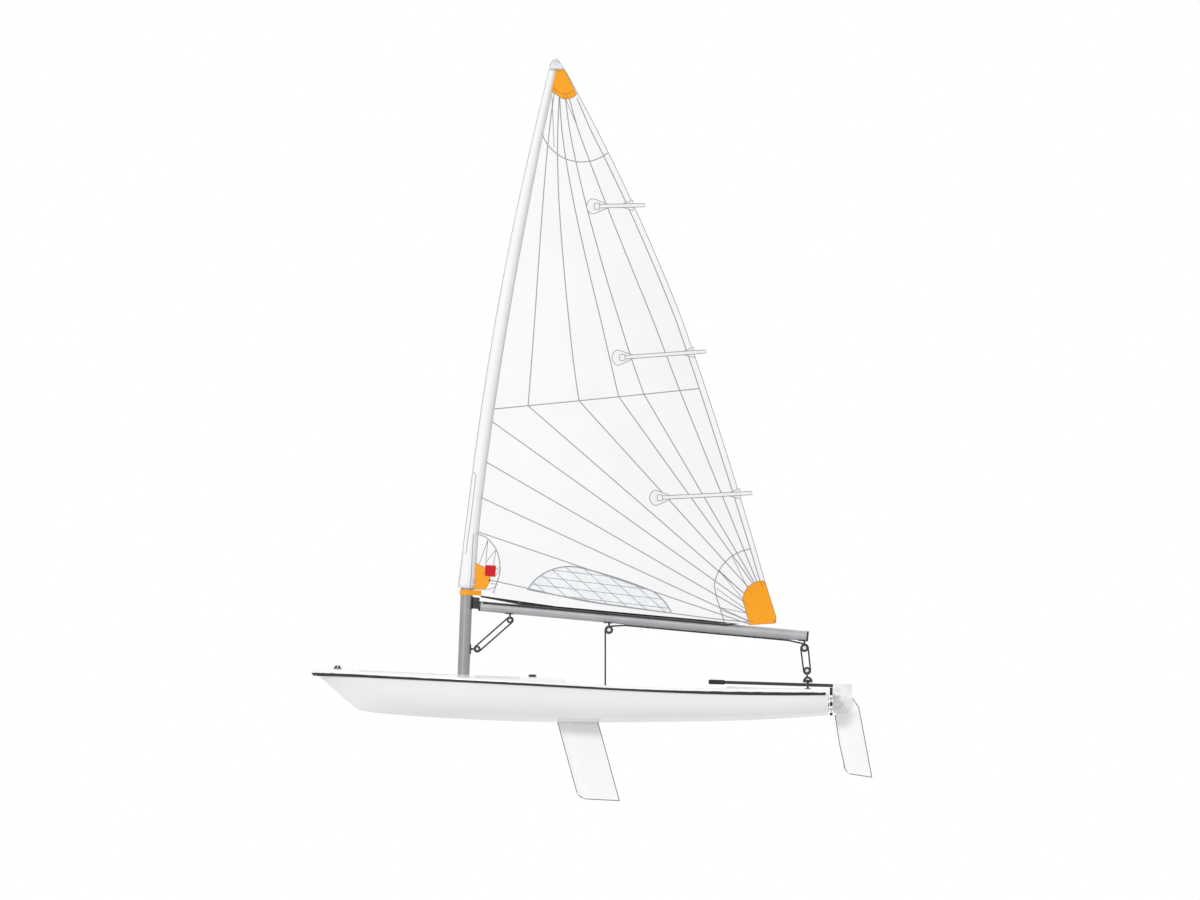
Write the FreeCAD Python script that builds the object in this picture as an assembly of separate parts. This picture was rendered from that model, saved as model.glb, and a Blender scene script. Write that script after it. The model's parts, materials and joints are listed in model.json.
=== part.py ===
import FreeCAD, Part
import math
import os

# A single-handed sailing dinghy. Millimetres, +X to the bow, +Y to port, +Z up.
# Inside this file heights are measured from the lowest line of the keel;
# save() lowers every piece by the draft, so that z = 0 is the waterline.
# x = 0 is amidships.

os.makedirs("parts", exist_ok=True)
V = FreeCAD.Vector

# ---- driving dimensions ----
draft = 67.0                 # keel line below the waterline, boat empty
fit_gap = 0.3                # between pieces that seat on each other
running_gap = 5.0            # between pieces that move past each other

# hull sections: x, keel height, sheer height, half-breadth at the sheer,
# half-breadth and height of the bilge corner
hull_sections = [
    (-2080, 62, 231, 500, 395, 98),
    (-1203, 12, 237, 608, 490, 60),
    (-312, 0, 273, 660, 520, 60),
    (579, 10, 320, 612, 450, 88),
    (1146, 37, 348, 488, 320, 128),
    (1470, 58, 364, 388, 222, 165),
    (1648, 76, 372, 320, 162, 196),
    (1730, 96, 376, 282, 132, 216),
    (1794, 146, 379, 248, 112, 246),
    (1891, 239, 383, 190, 80, 297),
    (1989, 332, 386, 118, 55, 352),
    (2032, 372, 388, 84, 34, 379),
]
bilge_softness = 0.62        # share of the shorter leg that the bilge arc takes
keel_softness = 0.3

# gunwale and deck slab: x, sheer height, outer half-breadth, lip height
deck_sections = [
    (-2088, 231, 520, 43),
    (-1203, 237, 632, 48),
    (-312, 273, 685, 33),
    (579, 320, 637, 36),
    (1146, 348, 514, 38),
    (1500, 365, 404, 42),
    (1760, 377, 296, 46),
    (1950, 384, 195, 50),
    (2050, 386, 118, 52),
    (2092, 391, 62, 42),
    (2104, 398, 32, 28),
]
# crown over the slab: x, height of the slab's top, half-breadth, rise
foredeck_sections = [
    (-60, 318, 655, 50),
    (77, 327, 655, 44),
    (579, 355, 612, 30),
    (1146, 385, 488, 22),
    (1500, 406, 380, 17),
    (1760, 422, 268, 16),
    (1950, 433, 165, 12),
    (2040, 437, 100, 8),
]
aft_deck_sections = [
    (-2080, 272, 490, 5),
    (-1700, 275, 545, 10),
    (-1180, 284, 600, 22),
]
# the step down from the foredeck to the side decks: x and height, rounded at its top and foot
foredeck_step = [(90, 379), (63, 369, True), (48, 346), (32, 328, True), (-8, 320), (-18, 300)]
aft_deck_step = [(-1268, 302), (-1236, 274), (-1226, 250)]

# cockpit well
well_front, well_back = -185, -1205
well_half_top, well_half_floor = 285, 245
well_floor = 82
well_rake = 42               # how far the end walls lean in
well_corner = 80
tub_wall = 6
tub_sink = 28                # the tub's rim ends inside the side deck, this far over its underside
deck_top_at_well = 309       # top of the side decks at the middle of the well

# daggerboard and its case
board_rake = 15.3            # degrees aft of vertical, going down
board_chord = 333            # measured level
board_thick = 30
board_nose_x = 113           # leading edge where it leaves the keel line
board_depth = 624            # tip below the keel line
pan_slope = 3.0              # the case top follows the sheer
pan_half_width = 62
pan_length = 384
stop_thick = 20
stop_half_width = 42
stop_length = 372

# rudder
pintle_x = -2104
head_front_x = -2118
head_length = 154
head_top, head_bottom = 318, 85
blade_thick = 18
blade_side_gap = 1.0         # blade to each cheek
cheek_thick = 4
spine_depth = 26
pintle_pin = 8.0
pintle_clearance = 0.2       # radial
lug_radius = 11
lug_thick = 8
gudgeon_heights = {"upper": 196, "lower": 108}
blade_pivot = (-2195, 158)   # x, height
blade_bolt_d = 8.0
# blade below the head: x and height, from the head's foot round the tip to the heel
blade_outline = [(-2117, 58), (-2204, -330), (-2222, -385, True), (-2262, -413), (-2437, -440),
                 (-2331, 130),
                 (-2279, 207)]
# where the blade's section is set: height, x of the nose and of the tail
blade_sections = [(230, -2106, -2324), (-460, -2214, -2440)]
spine_top = 288
tiller_pin_x, tiller_pin_d = -2195, 6
tiller_width, tiller_height = 19.4, 26
tiller_front = (-1226, 334)  # x, height of the tiller's centre line
tiller_back = (-2262, 302)
grip_length, grip_d = 134, 38
grip_bore_r, grip_bore_length = 4.0, 40.0

# spars
mast_foot = (888, 45)        # x, height of the mast's foot
mast_rake = 2.17             # degrees aft
mast_d, spar_wall = 98, 3
joint_height = 1138
lower_bend = (448, 4.43)     # length and angle of the first bend above the joint
upper_bend = (3790, 6.9)     # length and angle of the long bend above it
# share of the upper mast's length, its diameter
upper_mast_taper = [(0.0, 92), (0.12, 84), (0.45, 82), (0.7, 72), (0.88, 52), (1.0, 42)]
mast_bore_gap = 1.0
boom_front = (753, joint_height - 186)   # x, height of the boom's axis
boom_back = (-1920, joint_height - 432)
boom_d = 82
tack_strap_heights = (joint_height - 98, joint_height - 56)

# blocks and the tangs that carry them
sheet_sheave_width, vang_sheave_width = 14, 12
sheet_block_r, vang_block_r, tackle_block_r = 34, 27, 31
eye_bar_r, tang_half, tang_width = 4.5, 4.0, 17
boom_saddle_thick = 3
mid_block_x, end_block_x, vang_high_x = -304, -1887, 498
vang_low = V(763, 0, 604)
tackle_block = V(-1908, 0, 428)
ratchet_block = V(mid_block_x, 0, 154)
rope_d = 13
groove_depth = 3             # the rope's centre line runs this far outside the sheave's rim

# the sail's surface: x and height over the mast joint at luff and leech, then camber to port
sail_sections = [
    (862, -98, -1750, -418, 96),
    (766, 832, -1475, 792, 112),
    (648, 1727, -1180, 1727, 94),
    (490, 2617, -830, 2617, 64),
    (328, 3427, -455, 3427, 32),
    (152, 4202, -20, 4202, 5),
]
# outlines on the sail, as x and height over the mast joint; True marks the middle of an arc
sail_leech_and_foot = [
    (55, 4162), (-485, 3102, True), (-899, 2130), (-1224, 1158, True), (-1567, 18),
    (-1660, -282), (-1650, -328), (-1443, -341), (-960, -286), (12, -192), (498, -132), (640, -96),
    (725, -54), (800, -54)]
window_outline = [
    (357, -53), (310, 10), (166, 105, True), (-51, 128), (-370, 40, True), (-660, -68),
    (-752, -150, True), (-811, -245), (-231, -164), (12, -120)]
patch_outlines = {
    "head_patch": [(137, 4157), (55, 4157), (-42, 3956), (-8, 3932), (84, 3929, True), (120, 3956),
                   (175, 3992)],
    "tack_patch": [(800, 172), (773, 160), (704, 126), (658, 46), (668, 2), (697, -52), (800, -52)],
    "clew_patch": [(-1565, 16), (-1658, -282), (-1648, -326), (-1443, -339), (-1387, -138),
                   (-1434, -30, True)],
}
tag_outline = [(697, 144), (612, 139), (620, 51), (702, 58)]
# battens: x and height over the joint of the nose and of the tail, which stands out past the leech
batten_runs = {
    "batten_top": ((-135, 3050), (-595, 3060)),
    "batten_middle": ((-341, 1822), (-1088, 1875)),
    "batten_lower": ((-645, 687), (-1462, 728)),
}
batten_half, batten_thick = 13, 3
# masthead cap: x and height from the middle of the mast's top
cap_outline = [(23, -13), (23, 16), (9, 43), (-20, 63, True), (-55, 43), (-92, -13)]
cap_half_width = 26
cloth_thick = 4
film_thick = 1.6
patch_thick = 1.4
sleeve_gap, sleeve_wall = 1.0, 2.5
sleeve_flare = 10            # extra diameter at the sleeve's foot


# ---- helpers ----
def save(name, shape):
    moved = shape.copy()
    moved.translate(V(0, 0, -draft))
    moved.exportStep("parts/" + name + ".step")
    print("%-28s solids %d  volume %.6f m3  valid %s"
          % (name, len(moved.Solids), moved.Volume / 1e9, moved.isValid()))


def box(x0, x1, y0, y1, z0, z1):
    return Part.makeBox(x1 - x0, y1 - y0, z1 - z0, V(x0, y0, z0))


def cylinder(start, end, radius):
    along = end - start
    return Part.makeCylinder(radius, along.Length, start, along)


def loft(sections):
    """A smooth loft of low degree, which doesn't swing between uneven stations."""
    return Part.makeLoft(sections, True, False, False, 2)


def tube(start, end, radius, wall):
    return cylinder(start, end, radius).cut(cylinder(start, end, radius - wall))


def side_prism(points, half_width, centre_y=0):
    """Prism across the boat from an outline of (x, height) points or arcs.
    A three-item entry is (x, height, True): the middle point of an arc."""
    edges = []
    count = len(points)
    here = 0
    while here < count:
        start = points[here]
        after = points[(here + 1) % count]
        if len(after) == 3:
            end = points[(here + 2) % count]
            edges.append(Part.Arc(V(start[0], 0, start[1]), V(after[0], 0, after[1]),
                                  V(end[0], 0, end[1])).toShape())
            here += 2
        else:
            edges.append(Part.makeLine(V(start[0], 0, start[1]), V(after[0], 0, after[1])))
            here += 1
    face = Part.Face(Part.Wire(edges))
    face.translate(V(0, centre_y - half_width, 0))
    return face.extrude(V(0, 2 * half_width, 0))


def along_line(start, end, shape):
    """Places a shape made along +X from the origin on a sloping line in the XZ plane."""
    slope = math.degrees(math.atan2(end[1] - start[1], end[0] - start[0]))
    shape = shape.copy()
    shape.rotate(V(0, 0, 0), V(0, 1, 0), -slope)
    shape.translate(V(start[0], 0, start[1]))
    return shape


def on_boom(distance, below=0, side=0):
    """A point on the boom, measured aft from its front end and down from its axis."""
    run = V(boom_back[0] - boom_front[0], 0, boom_back[1] - boom_front[1]).normalize()
    down = V(run.z, 0, -run.x).normalize()
    if down.z > 0:
        down = down * -1
    return V(boom_front[0], side, boom_front[1]) + run * distance + down * below


def sheave_radius(block_radius):
    return 0.8 * block_radius


def groove_radius(block_radius):
    """How far from a block's pin its rope's centre line runs."""
    return sheave_radius(block_radius) + groove_depth


def eye_reach(block_radius):
    """From a block's pin to its eye, so that the tang clears the rope on the sheave."""
    return groove_radius(block_radius) + rope_d / 2 + tang_width / 2 + 0.8


def block(centre, radius, sheave_width, eye):
    """A pulley block: two cheeks and a pin, a strap to its eye, and a loose sheave."""
    cheek = 4
    side_gap = 1
    strap_width = 12
    half = sheave_width / 2 + side_gap
    cheeks = []
    for side in (-1, 1):
        y0 = centre.y + (half if side > 0 else -half - cheek)
        disc = Part.makeCylinder(radius, cheek, V(centre.x, y0, centre.z), V(0, 1, 0))
        end = Part.makeCylinder(strap_width / 2, cheek, V(eye.x, y0, eye.z), V(0, 1, 0))
        reach = V(eye.x - centre.x, 0, eye.z - centre.z)
        strap = Part.makeBox(reach.Length, cheek, strap_width, V(0, 0, -strap_width / 2))
        slope = math.degrees(math.atan2(reach.z, reach.x))
        strap.rotate(V(0, 0, 0), V(0, 1, 0), -slope)
        strap.translate(V(centre.x, y0, centre.z))
        cheeks.append(disc.fuse([strap, end]))
    across = V(0, 1, 0)
    outer = half + cheek
    pin_r = radius * 0.22
    pin = Part.makeCylinder(pin_r, 2 * outer, centre - across * outer, across)
    eye_bar = Part.makeCylinder(eye_bar_r, 2 * outer, eye - across * outer, across)
    frame = cheeks[0].fuse([cheeks[1], pin, eye_bar]).removeSplitter()
    sheave_r = sheave_radius(radius)
    sheave_side = centre - across * (sheave_width / 2)
    sheave = Part.makeCylinder(sheave_r, sheave_width, sheave_side, across)
    sheave = sheave.cut(Part.makeTorus(groove_radius(radius), rope_d / 2 + 0.5, centre, across))
    sheave = sheave.cut(Part.makeCylinder(pin_r + fit_gap, sheave_width, sheave_side, across))
    return Part.makeCompound([frame, sheave])


# ---- hull and deck ----
def corner_arc(before, corner, after, tangent):
    """The ends and the middle of the arc that rounds a corner, by its tangent length."""
    to_before = (before - corner).normalize()
    to_after = (after - corner).normalize()
    start = corner + to_before * tangent
    end = corner + to_after * tangent
    half_angle = to_before.getAngle(to_after) / 2
    radius = tangent * math.tan(half_angle)
    bisector = (to_before + to_after).normalize()
    middle = corner + bisector * (radius / math.sin(half_angle) - radius)
    return start, middle, end


def hull_section(x, keel, sheer, top, bilge, bilge_height):
    port = [V(x, top, sheer), V(x, bilge, bilge_height), V(x, 0, keel)]
    starboard = [V(x, -point.y, point.z) for point in port]
    leg = min((port[0] - port[1]).Length, (port[2] - port[1]).Length)
    bilge_start, bilge_middle, bilge_end = corner_arc(port[0], port[1], port[2], bilge_softness * leg)
    keel_tangent = keel_softness * (port[2] - port[1]).Length
    keel_start, keel_middle, keel_end = corner_arc(port[1], port[2], starboard[1], keel_tangent)
    flip = lambda point: V(point.x, -point.y, point.z)
    edges = [
        Part.makeLine(port[0], bilge_start),
        Part.Arc(bilge_start, bilge_middle, bilge_end).toShape(),
        Part.makeLine(bilge_end, keel_start),
        Part.Arc(keel_start, keel_middle, keel_end).toShape(),
        Part.makeLine(keel_end, flip(bilge_end)),
        Part.Arc(flip(bilge_end), flip(bilge_middle), flip(bilge_start)).toShape(),
        Part.makeLine(flip(bilge_start), starboard[0]),
        Part.makeLine(starboard[0], port[0]),
    ]
    return Part.Wire(edges)


def slab_section(x, sheer, half, lip):
    r = lip / 2
    inner = half - r
    edges = [
        Part.makeLine(V(x, -inner, sheer), V(x, inner, sheer)),
        Part.Arc(V(x, inner, sheer), V(x, half, sheer + r), V(x, inner, sheer + lip)).toShape(),
        Part.makeLine(V(x, inner, sheer + lip), V(x, -inner, sheer + lip)),
        Part.Arc(V(x, -inner, sheer + lip), V(x, -half, sheer + r), V(x, -inner, sheer)).toShape(),
    ]
    return Part.Wire(edges)


def crown_section(x, base, half, rise):
    sunk = 6
    edges = [
        Part.makeLine(V(x, -half, base - sunk), V(x, half, base - sunk)),
        Part.makeLine(V(x, half, base - sunk), V(x, half, base - 1)),
        Part.Arc(V(x, half, base - 1), V(x, 0, base + rise), V(x, -half, base - 1)).toShape(),
        Part.makeLine(V(x, -half, base - 1), V(x, -half, base - sunk)),
    ]
    return Part.Wire(edges)


def rounded_rectangle(x0, x1, half, corner, height):
    points = [V(x0, -half, height), V(x1, -half, height), V(x1, half, height), V(x0, half, height)]
    edges = []
    count = len(points)
    arcs = [corner_arc(points[i - 1], points[i], points[(i + 1) % count], corner) for i in range(count)]
    for i in range(count):
        start, middle, end = arcs[i]
        edges.append(Part.Arc(start, middle, end).toShape())
        edges.append(Part.makeLine(end, arcs[(i + 1) % count][0]))
    return Part.Wire(edges)


def well_solid(grow, top, below):
    """The cockpit well as a solid, grown outwards by a wall or a gap."""
    foot = rounded_rectangle(well_back + well_rake - grow, well_front - well_rake + grow,
                             well_half_floor + grow, well_corner - 20 + grow, well_floor - below)
    slope = (well_half_top - well_half_floor) / (deck_top_at_well - well_floor)
    rake = well_rake / (deck_top_at_well - well_floor)
    rise = top - well_floor
    head = rounded_rectangle(well_back + well_rake - grow - rake * rise,
                             well_front - well_rake + grow + rake * rise,
                             well_half_floor + grow + slope * rise, well_corner + grow, top)
    return Part.makeLoft([foot, head], True, True)


def board_shift(height):
    """How far forward the raked board stands at a height above the keel line."""
    return height * math.tan(math.radians(board_rake))


def raked_prism(wire, length):
    lean = math.radians(board_rake)
    return Part.Face(wire).extrude(V(math.sin(lean), 0, math.cos(lean)) * length)


def case_slot():
    bottom = -60
    nose = board_nose_x + board_shift(bottom) + running_gap
    tail = nose - board_chord - 2 * running_gap
    wire = rounded_rectangle(tail, nose, board_thick / 2 + running_gap, 8, bottom)
    return raked_prism(wire, 600)


pan_centre_x = board_nose_x + board_shift(305) - board_chord / 2
pan_floor_height = 303       # case top at the middle of the pan


def pan_shape(length, half_width, thick, lift, corner):
    """A plate over the case top, sloping with the sheer."""
    wire = rounded_rectangle(-length / 2, length / 2, half_width, corner, 0)
    plate = Part.Face(wire).extrude(V(0, 0, thick))
    plate.translate(V(0, 0, lift))
    plate.rotate(V(0, 0, 0), V(0, 1, 0), -pan_slope)
    plate.translate(V(pan_centre_x, 0, pan_floor_height))
    return plate


def mast_line(height):
    """x of the straight mast's axis at a height."""
    return mast_foot[0] - (height - mast_foot[1]) * math.tan(math.radians(mast_rake))


def make_hull_and_deck():
    hull = loft([hull_section(*row) for row in hull_sections])
    slab = loft([slab_section(*row) for row in deck_sections])
    foredeck = loft([crown_section(*row) for row in foredeck_sections])
    cutter = side_prism([(foredeck_step[0][0], 500)] + foredeck_step + [(-400, 300), (-400, 500)], 900)
    foredeck = foredeck.cut(cutter)
    aft_deck = loft([crown_section(*row) for row in aft_deck_sections])
    cutter = side_prism([(aft_deck_step[0][0], 500)] + aft_deck_step + [(-900, 250), (-900, 500)], 900)
    aft_deck = aft_deck.cut(cutter)
    deck = slab.fuse([foredeck, aft_deck])

    mast_hole = cylinder(V(mast_line(mast_foot[1]), 0, mast_foot[1]), V(mast_line(600), 0, 600),
                         mast_d / 2 + mast_bore_gap)
    slot = case_slot()
    pan = pan_shape(pan_length, pan_half_width, 120, 0, 30)

    tub = well_solid(tub_wall, 300, tub_wall)
    above_slab = slab.copy()
    above_slab.translate(V(0, 0, tub_sink))
    tub = tub.cut(above_slab)
    hollow = well_solid(0, 420, 0)
    deck = deck.fuse(tub).cut(hollow).cut(pan).cut(slot).cut(mast_hole)
    pocket = well_solid(tub_wall + fit_gap, 420, tub_wall + fit_gap)
    lowered = slab.copy()
    lowered.translate(V(0, 0, -fit_gap))
    above = box(-2300, 2300, -900, 900, 460, 600)
    hull = hull.cut(lowered).cut(pocket).cut(slot).cut(mast_hole).cut(above)
    return hull, deck


def largest(shape):
    return max(shape.Solids, key=lambda solid: solid.Volume)


hull, deck = make_hull_and_deck()
print("hull pieces", len(hull.Solids), "deck pieces", len(deck.Solids))
save("hull_moulding", largest(hull))
save("deck_moulding", largest(deck))


# ---- daggerboard ----
def foil_wire(nose, tail, thick, height):
    """A symmetrical foil, level: round nose, fullest part, straight run to the tail."""
    chord = nose - tail
    half = thick / 2
    fullest = nose - 0.32 * chord
    tail_half = 2.5
    edges = []
    shoulder = nose - 0.08 * chord
    shoulder_half = half * 0.78
    edges.append(Part.makeLine(V(tail, tail_half, height), V(fullest, half, height)))
    edges.append(Part.makeLine(V(fullest, half, height), V(shoulder, shoulder_half, height)))
    edges.append(Part.Arc(V(shoulder, shoulder_half, height), V(nose, 0, height),
                          V(shoulder, -shoulder_half, height)).toShape())
    edges.append(Part.makeLine(V(shoulder, -shoulder_half, height), V(fullest, -half, height)))
    edges.append(Part.makeLine(V(fullest, -half, height), V(tail, -tail_half, height)))
    edges.append(Part.makeLine(V(tail, -tail_half, height), V(tail, tail_half, height)))
    return Part.Wire(edges)


def board_point(height, back=0.0):
    """x on the board's leading edge line at a height, or behind it."""
    return board_nose_x + board_shift(height) - back


def make_daggerboard():
    top = pan_floor_height + 40
    nose = board_point(-700)
    blank = raked_prism(foil_wire(nose, nose - board_chord, board_thick, -700), 1200)
    tip = -board_depth
    nose_corner = 74
    outline = side_prism([
        (board_point(top) + 60, top),
        (board_point(tip + nose_corner), tip + nose_corner),
        (board_point(tip) - 26, tip + 20, True),
        (board_point(tip) - nose_corner - 4, tip + 8),
        (board_point(tip) - board_chord - 60, tip - 8),
        (board_point(top) - board_chord - 60, top),
    ], 60)
    board = blank.common(outline)
    return board.cut(pan_shape(900, 300, 400, fit_gap, 10))


def make_board_stop():
    stop = pan_shape(stop_length, stop_half_width, stop_thick, fit_gap, 30)
    grip = pan_shape(120, 16, stop_thick + 4, 6, 15)
    return stop.cut(grip)


save("daggerboard", make_daggerboard())
save("board_stop", make_board_stop())


# ---- rudder ----
pivot_x, pivot_height = blade_pivot
head_half = blade_thick / 2 + blade_side_gap
head_back_x = head_front_x - head_length


def make_rudder_blade():
    blank = Part.makeLoft([foil_wire(nose, tail, blade_thick, height)
                           for height, nose, tail in blade_sections],
                          True, True)
    # the blade's top is round about its bolt, so that it swings clear of the head's spine
    reach = head_front_x - spine_depth - 3 - pivot_x
    outline = side_prism([
        (pivot_x, pivot_height + reach),
        (pivot_x + reach * 0.707, pivot_height + reach * 0.707, True),
        (pivot_x + reach, pivot_height),
        (head_front_x - spine_depth - 3, head_bottom - 6),
    ] + blade_outline, 40)
    blade = blank.common(outline)
    hole = Part.makeCylinder(blade_bolt_d / 2 + pintle_clearance, 80, V(pivot_x, -40, pivot_height),
                             V(0, 1, 0))
    return blade.cut(hole)


def make_rudder_head():
    cheek = [(head_front_x, head_top), (head_front_x, head_bottom), (pivot_x - 40, head_bottom),
             (head_back_x, pivot_height - 10), (head_back_x, head_top)]
    pieces = []
    for side in (-1, 1):
        pieces.append(side_prism(cheek, cheek_thick / 2, side * (head_half + cheek_thick / 2)))
    spine = box(head_front_x - spine_depth, head_front_x, -head_half, head_half, head_bottom, spine_top)
    head = pieces[0].fuse([pieces[1], spine]).removeSplitter()
    bolt = Part.makeCylinder(blade_bolt_d / 2 + 0.1, 80, V(pivot_x, -40, pivot_height), V(0, 1, 0))
    return head.cut(bolt).cut(tiller_pin_shape(0.1, 40))


def tiller_line(x):
    share = (x - tiller_front[0]) / (tiller_back[0] - tiller_front[0])
    return tiller_front[1] + share * (tiller_back[1] - tiller_front[1])


def tiller_pin_shape(grow, half_length):
    return Part.makeCylinder(tiller_pin_d / 2 + grow, 2 * half_length,
                             V(tiller_pin_x, -half_length, tiller_line(tiller_pin_x)), V(0, 1, 0))


def make_tiller():
    length = math.hypot(tiller_back[0] - tiller_front[0], tiller_back[1] - tiller_front[1])
    bar = box(0, length, -tiller_width / 2, tiller_width / 2, -tiller_height / 2, tiller_height / 2)
    bar = bar.makeFillet(6, [edge for edge in bar.Edges if abs(edge.Length - length) < 1])
    bar = along_line(tiller_front, tiller_back, bar)
    return bar.cut(tiller_pin_shape(0.1, 40))


def make_tiller_grip():
    """A round grip pushed over the tiller's front end, with the extension's bore in its nose."""
    overlap = 18
    grip = Part.makeCylinder(grip_d / 2, grip_length, V(0, 0, 0), V(1, 0, 0))
    grip = grip.makeFillet(12, [edge for edge in grip.Edges if edge.Closed])
    socket = box(grip_length - overlap, grip_length + 1, -tiller_width / 2, tiller_width / 2,
                 -tiller_height / 2, tiller_height / 2)
    bore = Part.makeCylinder(grip_bore_r, grip_bore_length, V(0, 0, 0), V(1, 0, 0))
    grip = grip.cut(socket).cut(bore)
    slope = math.atan2(tiller_back[1] - tiller_front[1], tiller_back[0] - tiller_front[0])
    nose = (tiller_front[0] - math.cos(slope) * (grip_length - overlap),
            tiller_front[1] - math.sin(slope) * (grip_length - overlap))
    return along_line(nose, tiller_back, grip)


def lug_shape(height, back_to):
    """A level lug round the pintle axis that runs to x = back_to."""
    disc = Part.makeCylinder(lug_radius, lug_thick, V(pintle_x, 0, height))
    x0, x1 = sorted((pintle_x, back_to))
    return disc.fuse(box(x0, x1, -lug_radius, lug_radius, height, height + lug_thick)).removeSplitter()


def make_gudgeon(height):
    plate_thick, plate_half, plate_tall = 4, 26, 44
    face = transom_x - fit_gap
    plate = box(face - plate_thick, face, -plate_half, plate_half, height + lug_thick / 2 - plate_tall / 2,
                height + lug_thick / 2 + plate_tall / 2)
    hole = Part.makeCylinder(pintle_pin / 2 + pintle_clearance, 60, V(pintle_x, 0, height - 20))
    return plate.fuse(lug_shape(height, face)).cut(hole).removeSplitter()


def make_pintle(height):
    """The strap on the rudder head whose pin drops into the gudgeon."""
    strap_thick, strap_reach, pin_below = 3, 62, 20
    base = height + lug_thick + fit_gap
    lug = lug_shape(base, head_front_x)
    outer = head_half + cheek_thick
    nose = box(head_front_x, head_front_x + strap_thick, -outer - strap_thick, outer + strap_thick,
               base, base + 22)
    sides = [box(head_front_x - strap_reach, head_front_x, y, y + strap_thick, base, base + 22)
             for y in (outer, -outer - strap_thick)]
    pin = Part.makeCylinder(pintle_pin / 2, lug_thick + fit_gap + pin_below + 4,
                            V(pintle_x, 0, height - pin_below))
    return lug.fuse([nose, pin] + sides).removeSplitter()


transom_x = hull_sections[0][0]
save("rudder_blade", make_rudder_blade())
save("rudder_head", make_rudder_head())
save("tiller", make_tiller())
save("tiller_grip", make_tiller_grip())
bolt_half = head_half + cheek_thick
bolt = Part.makeCylinder(blade_bolt_d / 2, 2 * bolt_half + 8, V(pivot_x, -bolt_half - 4, pivot_height),
                         V(0, 1, 0))
for side in (-1, 1):
    y0 = bolt_half if side > 0 else -bolt_half - 5
    bolt = bolt.fuse(Part.makeCylinder(8, 5, V(pivot_x, y0, pivot_height), V(0, 1, 0)))
save("blade_bolt", bolt.removeSplitter())
save("tiller_pin", tiller_pin_shape(0, bolt_half + 2))
for place, height in gudgeon_heights.items():
    save("gudgeon_" + place, make_gudgeon(height))
    save("pintle_" + place, make_pintle(height))


# ---- spars ----
def mast_axis_point(height):
    return V(mast_line(height), 0, height)


def upper_mast_point(distance):
    """Centre and direction of the upper mast at a distance above the joint."""
    angle = math.radians(mast_rake)
    point = mast_axis_point(joint_height)
    if distance < 0:
        return mast_axis_point(joint_height + distance), V(-math.sin(angle), 0, math.cos(angle))
    for length, turn_degrees in (lower_bend, upper_bend):
        run = min(max(distance, 0), length)
        turn = math.radians(turn_degrees)
        radius = length / turn
        end = angle + run / radius
        point = point + V(-radius * (math.cos(angle) - math.cos(end)), 0,
                          radius * (math.sin(end) - math.sin(angle)))
        angle = end
        distance -= run
        if distance <= 0:
            break
    if distance > 0:
        point = point + V(-math.sin(angle), 0, math.cos(angle)) * distance
    return point, V(-math.sin(angle), 0, math.cos(angle))


def taper_at(share):
    rows = upper_mast_taper
    for (s0, d0), (s1, d1) in zip(rows, rows[1:]):
        if share <= s1:
            return d0 + (d1 - d0) * (share - s0) / (s1 - s0)
    return rows[-1][1]


upper_length = lower_bend[0] + upper_bend[0]


def mast_skin(grow, start=0.0, stop=None, flare=0.0, flare_run=500):
    """The upper mast's bent, tapered outside as a solid, grown by a gap or a wall.
    Every skin bends at the same stations, so that they nest."""
    stop = upper_length if stop is None else stop
    count = 13
    stations = [upper_length * n / (count - 1) for n in range(count)]
    stations = [start] + [s for s in stations if start + 1 < s < stop - 1] + [stop]
    circles = []
    for distance in stations:
        centre, direction = upper_mast_point(distance)
        extra = flare / 2 * max(0.0, 1 - (distance - start) / flare_run)
        radius = taper_at(min(max(distance / upper_length, 0), 1)) / 2 + grow + extra
        circles.append(Part.Wire(Part.makeCircle(radius, centre, direction)))
    return Part.makeLoft(circles, True, True)


lower_top = joint_height - 12
save("lower_mast", tube(V(mast_line(mast_foot[1] + fit_gap), 0, mast_foot[1] + fit_gap),
                        mast_axis_point(lower_top), mast_d / 2, spar_wall))
save("mast_joint_collar", cylinder(mast_axis_point(lower_top), mast_axis_point(joint_height), mast_d / 2))
save("upper_mast", mast_skin(0))


def make_tack_strap():
    """A flat loop round the mast, drawn out aft to the tack."""
    low, high = tack_strap_heights
    inner, wall, tail_r, tail_back = mast_d / 2 + 0.5, 6, 9, 104
    middle = V(mast_line((low + high) / 2), 0, (low + high) / 2)
    def loop(grow):
        centre = mast_line((low + high) / 2)
        r = inner + grow
        back = tail_back
        t = tail_r + grow
        lean = math.asin((r - t) / back)
        points = [V(centre + r * math.sin(-lean), r * math.cos(lean), low),
                  V(centre - back - t * math.sin(lean), t * math.cos(lean), low)]
        flip = lambda p: V(p.x, -p.y, p.z)
        edges = [Part.makeLine(points[0], points[1]),
                 Part.Arc(points[1], V(centre - back - t, 0, low), flip(points[1])).toShape(),
                 Part.makeLine(flip(points[1]), flip(points[0])),
                 Part.Arc(flip(points[0]), V(centre + r, 0, low), points[0]).toShape()]
        return Part.Face(Part.Wire(edges)).extrude(V(0, 0, high - low))
    strap = loop(wall).cut(loop(0))
    strap.rotate(middle, V(0, 1, 0), -mast_rake)
    return strap


save("tack_strap", make_tack_strap())

boom_length = math.hypot(boom_back[0] - boom_front[0], boom_back[1] - boom_front[1])
cap_thick = 16


def boom_run(d0, d1, radius):
    return cylinder(on_boom(d0), on_boom(d1), radius)


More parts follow.
